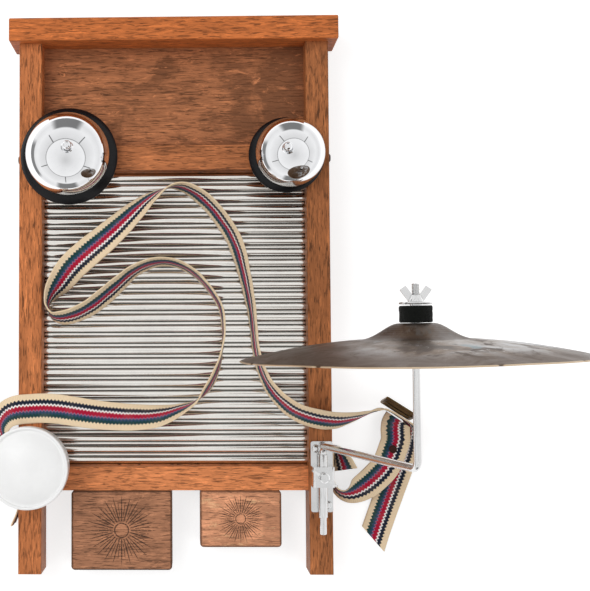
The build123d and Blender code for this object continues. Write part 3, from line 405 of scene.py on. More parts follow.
def metal_finish(name, base, roughness, grain=0.00001, scale=700.0, stretch=(1, 1, 1), wave=0.0, worn=0.0,
                 steep=0.0):
    """Plated or polished metal with fine scratches. It may be worn, or painted darker on steep slopes as a painted dark
    reflection.
    """
    finish = Finish(name, metallic=1.0, roughness=roughness)
    fine = finish.noise(finish.spot(stretch), scale, 3.0, 0.6)
    cloud = finish.noise(finish.spot(), 60.0, 4.0, 0.6)
    shade = finish.mix(finish.between(cloud, 0.3, 0.7), tint(base, 0.94), base)
    if worn > 0.0:
        patch = finish.noise(finish.spot(), 210.0, 6.0, 0.7, 0.4)
        shade = finish.mix(finish.sum("MULTIPLY", finish.between(patch, 0.45, 0.68), worn), shade, tint(base, 0.25))
        bright = finish.noise(finish.spot((1, 1, 1), (1, 2, 3)), 420.0, 5.0, 0.7)
        shade = finish.mix(finish.sum("MULTIPLY", finish.between(bright, 0.60, 0.75), worn), shade, tint(base, 2.4))
    # Painted dark reflection: the colour darkens where the normal tilts steeply along the piece's Y. It stands in for
    # the dark reflected lines on the ribs' flanks.
    if steep > 0.0:
        slope = finish.sum("ABSOLUTE", finish.axes(finish.where.outputs["Normal"])[1])
        painted_dark_reflection = finish.between(slope, 0.58, 0.80)
        shade = finish.mix(finish.sum("MULTIPLY", painted_dark_reflection, steep), shade, tint(base, 0.05))
    rough = finish.sum("MULTIPLY_ADD", fine, roughness * 0.8, roughness * 0.6)
    layers = [(fine, grain)]
    if wave > 0.0:
        layers.append((finish.noise(finish.spot((0.6, 1.0, 1.0)), 14.0, 1.0, 0.5), wave))
    return finish.paint(shade, rough).emboss(*layers).material


def cymbal_finish(look):
    """Lathed bronze under a patchy patina. Its own Y axis is the cymbal's."""
    finish = Finish("patchy_bronze", metallic=0.9, roughness=0.42)
    x, y, z = finish.axes(finish.spot())
    radius = finish.length(x, z)
    grooves = finish.sum("PINGPONG", finish.sum("DIVIDE", radius, look.groove), 1.0)
    bands = finish.node("ShaderNodeTexNoise", {"W": radius, "Scale": 420.0, "Detail": 3.0},
                        noise_dimensions="1D").outputs["Fac"]
    broad = finish.noise(finish.spot(), 17.0, 7.0, 0.62, 0.5)
    blotch = finish.noise(finish.spot((1, 1, 1), (2, 5, 1)), 46.0, 8.0, 0.68, 0.9)
    speck = finish.noise(finish.spot(), 520.0, 4.0, 0.7)
    shade = finish.ramp(broad, [(0.36, look.brown), (0.46, look.bronze), (0.58, look.pale)])
    shade = finish.mix(finish.between(blotch, 0.52, 0.62), shade, tint(look.brown, 1.1))
    cool = finish.noise(finish.spot((1, 1, 1), (7, 3, 4)), 30.0, 8.0, 0.7, 1.4)
    shade = finish.mix(finish.between(cool, 0.55, 0.66), shade, look.verdigris)
    scuffed = finish.noise(finish.spot((1, 1, 1), (1, 8, 2)), 110.0, 8.0, 0.75, 1.0)
    shade = finish.mix(finish.sum("MULTIPLY", finish.between(scuffed, 0.58, 0.68), 0.8), shade, tint(look.pale, 1.3))
    shade = finish.mix(finish.sum("MULTIPLY", finish.between(speck, 0.58, 0.72), 0.5), shade, tint(look.brown, 0.6))
    outer = finish.sum("MULTIPLY_ADD", broad, 0.03, radius)
    outer = finish.between(outer, look.radius * 0.80, look.radius * 1.02)
    shade = finish.mix(finish.sum("MULTIPLY", outer, 0.9), shade, tint(look.brown, 1.5))
    # The colour is darker towards the cymbal's low-X side.
    darker_low_x = finish.between(finish.sum("MULTIPLY_ADD", broad, 0.06, x), 0.03, -0.04)
    shade = finish.mix(finish.sum("MULTIPLY", darker_low_x, 0.85), shade, tint(look.brown, 1.6))
    middle = finish.between(radius, look.bell_radius * 1.15, look.bell_radius * 0.85)
    shade = finish.mix(finish.sum("MULTIPLY", middle, 0.8), shade, tint(look.brown, 1.1))
    edge = finish.between(radius, look.radius - 0.0016, look.radius - 0.0006)
    shade = finish.mix(edge, shade, look.rim)
    rough = finish.sum("MULTIPLY_ADD", blotch, 0.5, 0.16)
    return finish.paint(shade, rough).emboss(
        (grooves, 0.00005), (bands, 0.00008), (speck, 0.00003)).material


def felt_finish(look):
    """Pressed felt: a dense nap of short tangled hairs."""
    finish = Finish("black_felt", roughness=0.95, gloss=0.2, sheen=0.12)
    hairs = finish.noise(finish.spot((1.0, 0.35, 1.0)), 1900.0, 5.0, 0.8, 1.5)
    clumps = finish.noise(finish.spot(), 420.0, 4.0, 0.7)
    shade = finish.ramp(hairs, [(0.30, tint(look.felt, 0.5)), (0.55, look.felt), (0.80, tint(look.felt, 4.5))])
    return finish.paint(shade).emboss((hairs, 0.00022), (clumps, 0.0003)).material


def webbing_finish(look):
    """Woven stripes with toothed edges, from the webbing's own map: across, and along in metres."""
    finish = Finish("striped_webbing", roughness=0.85, gloss=0.2, sheen=0.1)
    across, along, _ = finish.axes(finish.where.outputs["UV"])
    tooth = finish.sum("PINGPONG", finish.sum("DIVIDE", along, look.zigzag / 2), 1.0)
    drift = finish.noise(finish.spot(), 260.0, 2.0, 0.5)
    tooth = finish.sum("MULTIPLY", finish.sum("SUBTRACT", tooth, 0.5), look.tooth)
    wander = finish.sum("MULTIPLY", finish.sum("SUBTRACT", drift, 0.5), 0.012)
    stripe = finish.sum("ADD", finish.sum("ADD", across, tooth), wander)
    shade = finish.ramp(stripe, [
        (0.0, look.cream), (0.20, look.navy), (0.343, look.white), (0.403, look.crimson),
        (0.56, look.mauve), (0.60, look.blue), (0.68, look.teal), (0.80, look.cream),
    ], "CONSTANT")
    warp = finish.sum("PINGPONG", finish.sum("MULTIPLY", across, 26.0), 0.5)
    pick = finish.sum("PINGPONG", finish.sum("DIVIDE", finish.sum(
        "ADD", along, finish.sum("MULTIPLY", warp, 0.0012)), 0.0012), 0.5)
    weave = finish.sum("ADD", finish.sum("MULTIPLY", warp, 0.6), pick)
    fuzz = finish.noise(finish.spot(), 2400.0, 3.0, 0.7)
    # Painted shade: the weave's low places between the threads are darkened, as shade in its recesses.
    dark = finish.mix(1.0, shade, 0.80, "MULTIPLY")
    shade = finish.mix(finish.between(weave, 0.15, 0.75), dark, shade)
    faded = finish.noise(finish.spot(), 70.0, 4.0, 0.6)
    shade = finish.mix(finish.sum("MULTIPLY", finish.between(faded, 0.45, 0.8), 0.12), shade,
                       finish.mix(0.5, shade, look.cream))
    shade = finish.mix(finish.sum("MULTIPLY", fuzz, 0.25), shade, finish.mix(1.0, shade, 1.7, "MULTIPLY"))
    return finish.paint(shade).emboss((weave, 0.00030), (fuzz, 0.00008)).material


def joint(name):
    return next(each for each in frame["joints"] if each["name"] == name)


def bell_space(side):
    """The leaning space of a bell: its origin is the middle of the gong's rim."""
    up = -Vector(joint(f"{side}_plunger_press")["axis"])
    across = Vector(joint(f"{side}_hammer_swing")["axis"])
    forward = across.cross(up)
    pivot = Vector(joint(f"{side}_hammer_swing")["pos_m"])
    origin = pivot + forward * 0.006 - up * 0.006
    return Matrix.Translation(origin) @ Matrix((forward, across, up)).transposed().to_4x4()


def cymbal_space():
    """The cymbal's tilted space: its origin is the top of the hole and Y is its axis."""
    axis = Vector(joint("cymbal_spin")["axis"])
    across = Vector(joint("cymbal_rock")["axis"])
    origin = Vector(joint("cymbal_spin")["pos_m"])
    return Matrix.Translation(origin) @ Matrix((across, axis, across.cross(axis))).transposed().to_4x4()


def piece(name, shape, material, body, space=None, stands_for=(), crease=40.0, uv=None):
    """A mesh piece in its own space that rides on a body."""
    points, faces = shape
    mesh = bpy.data.meshes.new(name)
    mesh.from_pydata([tuple(point) for point in points], [], faces)
    if uv is not None:
        layer = mesh.uv_layers.new(name="UVMap")
        for loop in mesh.loops:
            layer.data[loop.index].uv = uv[loop.vertex_index]
    made = bmesh.new()
    made.from_mesh(mesh)
    bmesh.ops.recalc_face_normals(made, faces=made.faces)
    made.to_mesh(mesh)
    made.free()
    mesh.shade_smooth()
    mesh.set_sharp_from_angle(angle=math.radians(crease))
    mesh.materials.append(material)
    thing = bpy.data.objects.new(name, mesh)
    bpy.context.scene.collection.objects.link(thing)
    if space is not None:
        thing.matrix_world = space
    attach(thing, body)
    if stands_for:
        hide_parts(*stands_for)
    return thing


def dress(nodes, material):
    """Gives the frame's own solids a finish."""
    for name in nodes:
        solid = frame["nodes"][name]
        for place in solid.material_slots:
            place.material = material


def soften(names, width, segments=2):
    """Rounds the sharp edges of the frame's solids without moving them."""
    for name in names:
        solid = frame["nodes"][name]
        weld = solid.modifiers.new("join_corners", "WELD")
        weld.merge_threshold = 0.000002
        round_over = solid.modifiers.new("round_over", "BEVEL")
        round_over.width = width
        round_over.segments = segments
        round_over.limit_method = "ANGLE"
        round_over.angle_limit = math.radians(40)
        round_over.harden_normals = True
        round_over.use_clamp_overlap = True


def lathe(profile, segments, closed=False):
    """Points and faces of an outline of radius and height turned about Z."""
    points = []
    rings = []
    for radius, height in profile:
        if radius < 1e-7:
            rings.append([len(points)] * segments)
            points.append((0.0, 0.0, height))
            continue
        rings.append([len(points) + step for step in range(segments)])
        for step in range(segments):
            angle = 2 * math.pi * step / segments
            points.append((radius * math.cos(angle), radius * math.sin(angle), height))
    pairs = list(zip(rings, rings[1:]))
    if closed:
        pairs.append((rings[-1], rings[0]))
    return points, skin(pairs, segments)


def skin(pairs, segments):
    faces = []
    for low, high in pairs:
        for step in range(segments):
            after = (step + 1) % segments
            corners = [low[step], low[after], high[after], high[step]]
            corners = [corner for index, corner in enumerate(corners) if corner not in corners[:index]]
            if len(corners) > 2:
                faces.append(corners)
    return faces


def arc(start, middle, end, count):
    """Points on the circle through three points, from start to end."""
    (ax, ay), (bx, by), (cx, cy) = start, middle, end
    double = 2 * (ax * (by - cy) + bx * (cy - ay) + cx * (ay - by))
    a2, b2, c2 = ax * ax + ay * ay, bx * bx + by * by, cx * cx + cy * cy
    ox = (a2 * (by - cy) + b2 * (cy - ay) + c2 * (ay - by)) / double
    oy = (a2 * (cx - bx) + b2 * (ax - cx) + c2 * (bx - ax)) / double
    radius = math.hypot(ax - ox, ay - oy)
    first = math.atan2(ay - oy, ax - ox)
    way = [(math.atan2(y - oy, x - ox) - first + math.pi) % (2 * math.pi) - math.pi
           for x, y in (middle, end)]
    sweep = way[1]
    if way[0] * way[1] < 0 or abs(way[1]) < abs(way[0]):
        sweep = way[1] - math.copysign(2 * math.pi, way[1])
    return [(ox + radius * math.cos(first + sweep * step / count),
             oy + radius * math.sin(first + sweep * step / count)) for step in range(count + 1)]


def tube(centres, radius_at, segments):
    """A closed round bar along points. radius_at gives its radius from the run and the angle."""
    points = []
    rings = []
    run = 0.0
    side = None
    for index, centre in enumerate(centres):
        before = centres[max(index - 1, 0)]
        after = centres[min(index + 1, len(centres) - 1)]
        heading = (after - before).normalized()
        if index:
            run += (centre - before).length
        side = heading.orthogonal() if side is None else side - heading * side.dot(heading)
        side = side.normalized()
        other = heading.cross(side)
        rings.append([len(points) + step for step in range(segments)])
        for step in range(segments):
            angle = 2 * math.pi * step / segments
            radius = radius_at(run, angle)
            points.append(centre + (side * math.cos(angle) + other * math.sin(angle)) * radius)
    faces = skin(zip(rings, rings[1:]), segments)
    faces.append(rings[0][::-1])
    faces.append(rings[-1])
    return points, faces


class WASHBOARD_OT_board(bpy.types.Operator):
    """Finish the cap, stiles, rails and panel in oiled and stained timber"""

    bl_idname = "washboard.board"
    bl_label = "Board"

    def execute(self, context):
        look = context.scene.washboard_wood
        depth = look.pore_depth
        dress(["top_cap"], wood_finish("cap_timber", look.cap, 0, depth))
        dress(["left_stile"], wood_finish("left_stile_timber", look.left_stile, 1, depth))
        dress(["right_stile"], wood_finish("right_stile_timber", look.right_stile, 1, depth))
        dress(["upper_cross_rail"], wood_finish("upper_rail_timber", tint(look.rails, 0.9), 0, depth))
        dress(["bottom_rail", "block_dowels"], wood_finish("bottom_rail_timber", tint(look.rails, 1.22), 0, depth))
        dress(["top_panel"], wood_finish("stained_panel", look.panel, 0, depth, stain=0.75))
        soften(["upper_cross_rail", "bottom_rail"], 0.0004)
        return {"FINISHED"}


class WASHBOARD_OT_blocks(bpy.types.Operator):
    """Finish the two tone blocks and burn a plain ray burst into each"""

    bl_idname = "washboard.blocks"
    bl_label = "Tone blocks"

    def execute(self, context):
        look = context.scene.washboard_wood
        for name, base in (("large_tone_block", look.large_block), ("small_tone_block", look.small_block)):
            low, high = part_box(name)
            middle = (low + high) / 2
            reach = min(high.x - low.x, high.y - low.y) * 0.44
            burst = ray_burst(middle, reach, look.rays, tuple(look.burn))
            dress([name], wood_finish(f"{name}_timber", base, 0, look.pore_depth, stain=0.5, burn=burst,
                                      singed=singed_edge(low, high)))
        soften(["large_tone_block", "small_tone_block"], 0.0004)
        return {"FINISHED"}


class WASHBOARD_OT_sheet(bpy.types.Operator):
    """Make the ribbed sheet with smooth crests and valleys"""

    bl_idname = "washboard.sheet"
    bl_label = "Ribbed sheet"

    def execute(self, context):
        look = context.scene.washboard_metal
        low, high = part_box("ribbed_sheet")
        rails = (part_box("bottom_rail")[1].y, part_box("upper_cross_rail")[0].y)
        profile = self.profile(low.y, high.y, rails, low.z, look)
        thickness = look.sheet_thickness
        points = []
        columns = 12
        for inset in (0.0, thickness):
            for column in range(columns + 1):
                x = low.x + (high.x - low.x) * column / columns
                for y, z, slope in profile:
                    points.append((x, y + inset * math.sin(slope), z - inset * math.cos(slope)))
        rows = len(profile)
        sheet = (columns + 1) * rows
        faces = []
        for column in range(columns):
            for row in range(rows - 1):
                a = column * rows + row
                faces.append((a, a + rows, a + rows + 1, a + 1))
                faces.append((a + sheet, a + 1 + sheet, a + rows + 1 + sheet, a + rows + sheet))
            for row in (0, rows - 1):
                a = column * rows + row
                faces.append((a, a + sheet, a + rows + sheet, a + rows))
        for column in (0, columns):
            for row in range(rows - 1):
                a = column * rows + row
                faces.append((a, a + 1, a + 1 + sheet, a + sheet))
        # steep paints dark reflections onto the ribs' steep flanks.
        steel = metal_finish("polished_steel", look.steel, 0.11, grain=0.000002, scale=900.0,
                             stretch=(1.0, 0.05, 1.0), wave=0.00006, steep=0.9)
        piece("ribbed_steel_sheet", (points, faces), steel, "board",
              stands_for=["ribbed_sheet"], crease=60.0)
        return {"FINISHED"}

    def profile(self, low, high, rails, back, look):
        """Places up the sheet's front face with the slope at each."""
        pitch = (rails[1] - rails[0]) / look.rib_count
        slope = 2 * math.atan(2 * look.rib_height / pitch)
        both = pitch / 2 / math.sin(slope)
        crest = both * look.crest_share
        valley = both - crest
        floor = back + look.sheet_thickness
        places = [(low, floor, 0.0)]
        for rib in range(look.rib_count):
            start = rails[0] + rib * pitch
            for step in range(7):
                turn = slope * step / 6
                places.append((start + valley * math.sin(turn), floor + valley * (1 - math.cos(turn)), turn))
            for step in range(1, 20):
                turn = slope * (1 - step / 10)
                places.append((start + pitch / 2 - crest * math.sin(turn),
                               floor + look.rib_height - crest * (1 - math.cos(turn)), turn))
            for step in range(6):
                turn = -slope * (1 - step / 6)
                places.append((start + pitch + valley * math.sin(turn),
                               floor + valley * (1 - math.cos(turn)), turn))
        places.append((rails[1], floor, 0.0))
        places.append((high, floor, 0.0))
        return places


class WASHBOARD_OT_bells(bpy.types.Operator):
    """Make the chromed gongs and finish the bells' bases and works"""

    bl_idname = "washboard.bells"
    bl_label = "Desk bells"

    def execute(self, context):
        look = context.scene.washboard_metal
        chrome = metal_finish("mirror_chrome", look.chrome, 0.035, grain=0.000001, scale=500.0)
        enamel = Finish("black_enamel", roughness=0.3, gloss=0.25)
        dust = enamel.noise(enamel.spot(), 900.0, 4.0, 0.7)
        shade = enamel.ramp(dust, [(0.55, look.enamel), (0.85, tint(look.enamel, 6.0))])
        enamel.paint(shade, enamel.sum("MULTIPLY_ADD", dust, 0.2, 0.2)).emboss((dust, 0.00001))
        plated = metal_finish("bright_plate", look.zinc, 0.14)
        sizes = {"left": (look.left_gong, look.left_dome), "right": (look.right_gong, look.right_dome)}
        for side in SIDES:
            radius, height = sizes[side]
            piece(f"{side}_gong", self.gong(radius, height, look.gong_wall), chrome, "board",
                  bell_space(side), stands_for=[f"{side}_bell_gong"], crease=50.0)
            dress([f"{side}_bell_base"], enamel.material)
            dress([f"{side}_bell_{part}" for part in ("bridge", "bushing", "hammer", "spring", "cover")], plated)
            dress([f"{side}_bell_plunger", f"{side}_bell_collar_nut"], chrome)
        dress(["bell_standoffs", "bell_screws", "hammer_pins"], plated)
        return {"FINISHED"}

    def gong(self, radius, height, wall):
        """A half-egg shell with a short straight rim."""
        band = 0.0018
        hole = 0.0025
        steps = 40
        outside = [(radius, 0.0002), (radius, band)]
        inside = [(radius - wall, 0.0002), (radius - wall, band)]
        for step in range(1, steps):
            turn = math.pi / 2 * step / steps
            for line, inset in ((outside, 0.0), (inside, wall)):
                place = ((radius - inset) * math.cos(turn), band + (height - inset - band) * math.sin(turn))
                if place[0] > hole * 1.3:
                    line.append(place)
        outside.append((hole, height))
        inside.append((hole, height - wall))
        rim = [(radius - wall * 0.8, 0.0), (radius - wall * 0.2, 0.0)]
        return lathe(rim + outside + inside[::-1], 128, closed=True)


class WASHBOARD_OT_arm(bpy.types.Operator):
    """Make the cranked rod with its threaded end and finish the clamp"""

    bl_idname = "washboard.arm"
    bl_label = "Cymbal arm"

    def execute(self, context):
        look = context.scene.washboard_metal
        plated = metal_finish("zinc_plate", look.zinc, 0.16, grain=0.000002, scale=500.0)
        cast = metal_finish("cast_zinc", tint(look.zinc, 1.04), 0.16, grain=0.00002, scale=700.0)
        low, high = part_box("arm_rod")
        radius = (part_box("clamp_sleeve")[1].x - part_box("clamp_sleeve")[0].x) / 2 - 0.001
        foot = Vector((low.x + radius, low.y, low.z + radius))
        mast = Vector((high.x - radius, high.y, high.z - radius))
        elbow = joint("arm_swivel")["pos_m"][1]
        drop = 0.0038
        corners = [foot, Vector((foot.x, elbow, foot.z)), Vector((mast.x, elbow - drop, mast.z)), mast]
        stud = 0.020
        centres = self.route(corners, 0.0065, stud, look.thread_pitch)
        total = sum((b - a).length for a, b in zip(centres, centres[1:]))
        ease = 0.0008

        def radius_at(run, angle):
            left = total - run
            if run < ease or left < ease:
                return radius * (0.72 + 0.28 * min(run, left) / ease)
            if left > stud:
                return radius
            phase = (left / look.thread_pitch + angle / (2 * math.pi)) % 1.0
            return radius - 0.0006 * look.thread_pitch / 0.001 * abs(2 * phase - 1)

        piece("cranked_rod", tube(centres, radius_at, 40), plated, "arm",
              stands_for=["arm_rod"], crease=70.0)
        dress(["clamp_plate", "clamp_sleeve", "clamp_pad", "cymbal_seat", "top_washer"], plated)
        dress(["clamp_saddle", "wing_bolt", "wing_nut"], cast)
        soften(["wing_bolt", "wing_nut"], 0.0005, 3)
        soften(["clamp_saddle", "clamp_plate", "clamp_sleeve", "top_washer"], 0.0003)
        self.screws(plated)
        return {"FINISHED"}

    def route(self, corners, bend, stud, pitch):
        """Centres along the rod: straight runs, round bends and close steps on the thread."""
        centres = [corners[0], corners[0].lerp(corners[1], 0.001 / (corners[1] - corners[0]).length)]
        for index in (1, 2):
            before = (corners[index - 1] - corners[index]).normalized()
            after = (corners[index + 1] - corners[index]).normalized()
            half = before.angle(after) / 2
            reach = bend / math.tan(half)
            middle = corners[index] + (before + after).normalized() * bend / math.sin(half)
            first = corners[index] + before * reach - middle
            last = corners[index] + after * reach - middle
            for step in range(13):
                centres.append(middle + first.slerp(last, step / 12) * bend)
        end = corners[3]
        back = (corners[2] - end).normalized()
        steps = int(stud / pitch * 6)
        for step in range(steps, 0, -1):
            centres.append(end + back * stud * step / steps)
        centres.append(end)
        return centres

    def screws(self, material):
        """Round-headed screws with a driver slot, in the clamp plate."""
        low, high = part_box("clamp_plate")
        node = frame["nodes"]["clamp_screws"]
        heads = {}
        for vertex in node.data.vertices:
            if vertex.co.z > high.z:
                upper = vertex.co.y > (low.y + high.y) / 2
                heads.setdefault(upper, []).append(vertex.co)
        for upper, corners in heads.items():
            middle = sum(corners, Vector()) / len(corners)
            middle.z = high.z
            name = "upper_plate_screw" if upper else "lower_plate_screw"
            stands_for = ["clamp_screws"] if upper else ()
            slotted_screw(name, middle, Vector((0, 0, 1)), 0.0035, 0.0021, 0.4 if upper else 1.9, material,
                          stands_for)


def slotted_screw(name, place, axis, radius, height, turn, material, stands_for=()):
    """A domed screw head with a driver slot cut into it."""
    profile = [(0.0, height)]
    for step in range(1, 13):
        angle = math.pi / 2 * step / 12
        profile.append((radius * math.sin(angle), height * math.cos(angle) ** 0.8 if step < 12 else 0.0002))
    profile += [(radius * 0.98, 0.0), (radius * 0.5, 0.0), (radius * 0.5, -0.006), (0.0, -0.0065)]
    space = Matrix.Translation(place) @ axis.to_track_quat("Z", "Y").to_matrix().to_4x4() @ Matrix.Rotation(turn, 4, "Z")
    head = piece(name, lathe(profile, 48), material, "board", space, stands_for, crease=35.0)
    corners = [(x, y, z) for z in (height * 0.45, height * 2) for y in (-0.0004, 0.0004) for x in (-radius * 1.2, radius * 1.2)]
    faces = [(0, 1, 3, 2), (4, 6, 7, 5), (0, 4, 5, 1), (2, 3, 7, 6), (0, 2, 6, 4), (1, 5, 7, 3)]
    carve(head, corners, faces)
    return head


def carve(thing, corners, faces):
    """Cuts a closed shape, given in the thing's own space, out of it."""
    mesh = bpy.data.meshes.new("cutter")
    mesh.from_pydata(corners, [], faces)
    cutter = bpy.data.objects.new("cutter", mesh)
    bpy.context.scene.collection.objects.link(cutter)
    bpy.context.view_layer.update()
    cutter.matrix_world = thing.matrix_world
    cut = thing.modifiers.new("cut", "BOOLEAN")
    cut.object = cutter
    cut.operation = "DIFFERENCE"
    bpy.context.view_layer.update()
    result = bpy.data.meshes.new_from_object(thing.evaluated_get(bpy.context.evaluated_depsgraph_get()))
    thing.modifiers.remove(cut)
    thing.data = result
    result.set_sharp_from_angle(angle=math.radians(35))
    bpy.data.objects.remove(cutter)


class WASHBOARD_OT_cymbal(bpy.types.Operator):
    """Make the bowed cymbal with its chipped rim and patina"""

    bl_idname = "washboard.cymbal"
    bl_label = "Cymbal"

    def execute(self, context):
        look = context.scene.washboard_cymbal
        total = look.bow + look.bell_height
        foot = (look.bell_radius, look.bow)
        line = arc((look.radius - 0.0008, 0.0), (look.radius * 0.68, look.bow * 0.62), foot, 34)[:-1]
        line += [self.flank(look, step / 26) for step in range(27)]
        line.append((look.bore, total))
        rim = [(look.radius, -look.thickness * 0.35), (look.radius, -look.thickness * 0.65)]
        under = [(radius, height - look.thickness) for radius, height in line]
        profile = rim[::-1] + line + under[::-1]
        segments = 480
        points, faces = lathe(profile, segments, closed=True)
        points = [self.wear(point, look, total) for point in points]
        piece("bronze_cymbal", (points, faces), cymbal_finish(look), "cymbal",
              cymbal_space(), stands_for=["cymbal"], crease=50.0)
        return {"FINISHED"}

    def flank(self, look, part):
        """Places up the bell's side: hollow at the foot and round at the top."""
        crown = 0.0126
        bend = part ** 1.3
        rise = bend * bend * (3 - 2 * bend)
        return look.bell_radius + (crown - look.bell_radius) * part, look.bow + look.bell_height * rise

    def wear(self, point, look, total):
        """Turns a lathed point so that Y is the axis, and adds a slight warp and the nicks."""
        x, z, height = point[0], point[1], point[2]
        radius = math.hypot(x, z)
        angle = math.atan2(z, x)
        out = radius / look.radius
        height += out ** 2 * (0.00045 * math.sin(2 * angle + 0.6) + 0.00025 * math.sin(5 * angle + 2.0))
        height += 0.00025 * out * noise.noise(Vector((x, 0.0, z)) * 30.0)
        if radius > look.radius - 0.004:
            depth = 0.0
            for chip in range(look.chips):
                where = 2 * math.pi * (chip * 0.381966 + 0.07)
                size = 0.0012 + 0.0009 * math.sin(chip * 2.3)
                away = (angle - where + math.pi) % (2 * math.pi) - math.pi
                depth = max(depth, size * max(0.0, 1 - (away * look.radius / 0.0024) ** 2))
            keep = 1 - depth * max(0.0, (radius - look.radius + 0.004) / 0.004) / radius
            x *= keep
            z *= keep
        return (x, height - total, z)


class WASHBOARD_OT_felts(bpy.types.Operator):
    """Make the two pressed felt washers"""

    bl_idname = "washboard.felts"
    bl_label = "Felt washers"

    def execute(self, context):
        look = context.scene.washboard_cymbal
        material = felt_finish(look)
        space = cymbal_space()
        inverse = space.inverted()
        for name in ("upper_felt", "lower_felt"):
            solid = frame["nodes"][name]
            places = [inverse @ vertex.co for vertex in solid.data.vertices]
            low = min(place.y for place in places)
            high = max(place.y for place in places)
            outer = max(math.hypot(place.x, place.z) for place in places)
            inner = min(math.hypot(place.x, place.z) for place in places)
            shape = self.washer(low, high, inner, outer)
            thing = piece(f"{name}_washer", shape, material, "felts", space,
                          stands_for=[name], crease=70.0)
        return {"FINISHED"}

    def washer(self, low, high, inner, outer):
        """A thick ring with softly rounded, slightly uneven edges."""
        soft = 0.0012
        profile = []
        corners = ((outer, high, 1, 1), (inner, high, -1, 1), (inner, low, -1, -1), (outer, low, 1, -1))
        for radius, height, out, up in corners:
            count = 6
            for step in range(count + 1):
                turn = math.pi / 2 * step / count
                if out * up < 0:
                    turn = math.pi / 2 - turn
                profile.append((radius - out * soft * (1 - math.cos(turn)), height - up * soft * (1 - math.sin(turn))))
        dense = []
        for index, (radius, height) in enumerate(profile):
            following = profile[(index + 1) % len(profile)]
            gap = math.dist((radius, height), following)
            parts = max(1, int(gap / 0.0009))
            for part in range(parts):
                along = part / parts
                dense.append((radius + (following[0] - radius) * along, height + (following[1] - height) * along))
        points, faces = lathe(dense, 140, closed=True)
        rough = []
        for x, z, height in points:
            here = Vector((x, height, z))
            pull = 0.00022 * noise.noise(here * 900.0) + 0.0003 * noise.noise(here * 260.0) - 0.0002
            radius = math.hypot(x, z)
            grow = 1 + pull / radius
            squeeze = 0.00015 * noise.noise(here * 420.0 + Vector((5, 5, 5)))
            rough.append((x * grow, min(max(height + squeeze, low), high), z * grow))
        return rough, faces


class WASHBOARD_OT_tin(bpy.types.Operator):
    """Make the round tin's cup and its slip lid with a rolled rim"""

    bl_idname = "washboard.tin"
    bl_label = "Tin"

    def execute(self, context):
        look = context.scene.washboard_metal
        spun = Finish("spun_tin", metallic=0.25, roughness=0.3)
        x, y, z = spun.axes(spun.spot())
        radius = spun.length(x, y)
        turning = spun.node("ShaderNodeTexNoise", {"W": radius, "Scale": 2600.0, "Detail": 4.0},
                            noise_dimensions="1D").outputs["Fac"]
        haze = spun.noise(spun.spot(), 90.0, 5.0, 0.6)
        shade = spun.mix(spun.between(haze, 0.35, 0.75), tint(look.tin, 0.97), look.tin)
        spun.paint(shade, spun.sum("MULTIPLY_ADD", turning, 0.16, 0.24)).emboss((turning, 0.000012))
        low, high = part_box("tin_lid")
        middle = Vector(((low.x + high.x) / 2, (low.y + high.y) / 2, 0.0))
        space = Matrix.Translation(middle)
        outer = (high.x - low.x) / 2
        piece("slip_lid", lathe(self.lid(outer, low.z, high.z), 160, closed=True), spun.material, "tin_lid",
              space, stands_for=["tin_lid"], crease=50.0)
        low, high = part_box("tin_cup")
        outer = (high.x - low.x) / 2
        piece("round_cup", lathe(self.cup(outer, low.z, high.z), 160, closed=True), spun.material, "board",
              space, stands_for=["tin_cup"], crease=50.0)
        dress(["tin_screw"], metal_finish("tin_screw_plate", look.zinc, 0.2))
        return {"FINISHED"}

    def lid(self, outer, low, top):
        """A flat face with a shallow step inside a rolled rim and a plain skirt."""
        wall = 0.0008
        roll = 0.0014
        face = top - 0.0012
        line = [(0.0, face), (outer - 0.0052, face), (outer - 0.0046, face - 0.0007), (outer - 0.0036, face - 0.0007)]
        line += arc((outer - 2 * roll, face - 0.0005), (outer - roll, top), (outer, top - roll), 12)
        line += [(outer - 0.0002, top - roll * 1.6), (outer, top - 0.004), (outer, low + 0.0006), (outer - 0.0004, low)]
        line += [(outer - wall, low), (outer - wall, face - wall - 0.0004), (outer - 0.002, face - wall)]
        line += [(0.0, face - wall)]
        return line

    def cup(self, outer, low, top):
        wall = 0.0008
        return [
            (0.0, low), (outer - 0.0015, low), (outer - 0.0004, low + 0.0004), (outer, low + 0.0015),
            (outer, top - 0.0004), (outer - wall / 2, top), (outer - wall, top - 0.0004),
            (outer - wall, low + 0.0016), (outer - 0.0018, low + wall), (0.0, low + wall),
        ]


class WASHBOARD_OT_fasteners(bpy.types.Operator):
    """Finish the dark domed side screws, the cap screws, the buckle and the strap's fastenings"""

    bl_idname = "washboard.fasteners"
    bl_label = "Fasteners"

    def execute(self, context):
        look = context.scene.washboard_metal
        dark = metal_finish("bronzed_screws", look.dark_screw, 0.32, grain=0.00002, worn=0.4)
        dress(["side_screws"], dark)
        soften(["side_screws"], 0.0006, 3)
        dress(["cap_screws"], dark)
        brass = metal_finish("aged_brass", look.brass, 0.34, grain=0.00003, scale=600.0, worn=0.6)
        dress(["slide_buckle"], brass)
        dress(["strap_fasteners"], dark)
        soften(["slide_buckle"], 0.0005, 3)
        soften(["strap_fasteners"], 0.0003, 2)
        return {"FINISHED"}


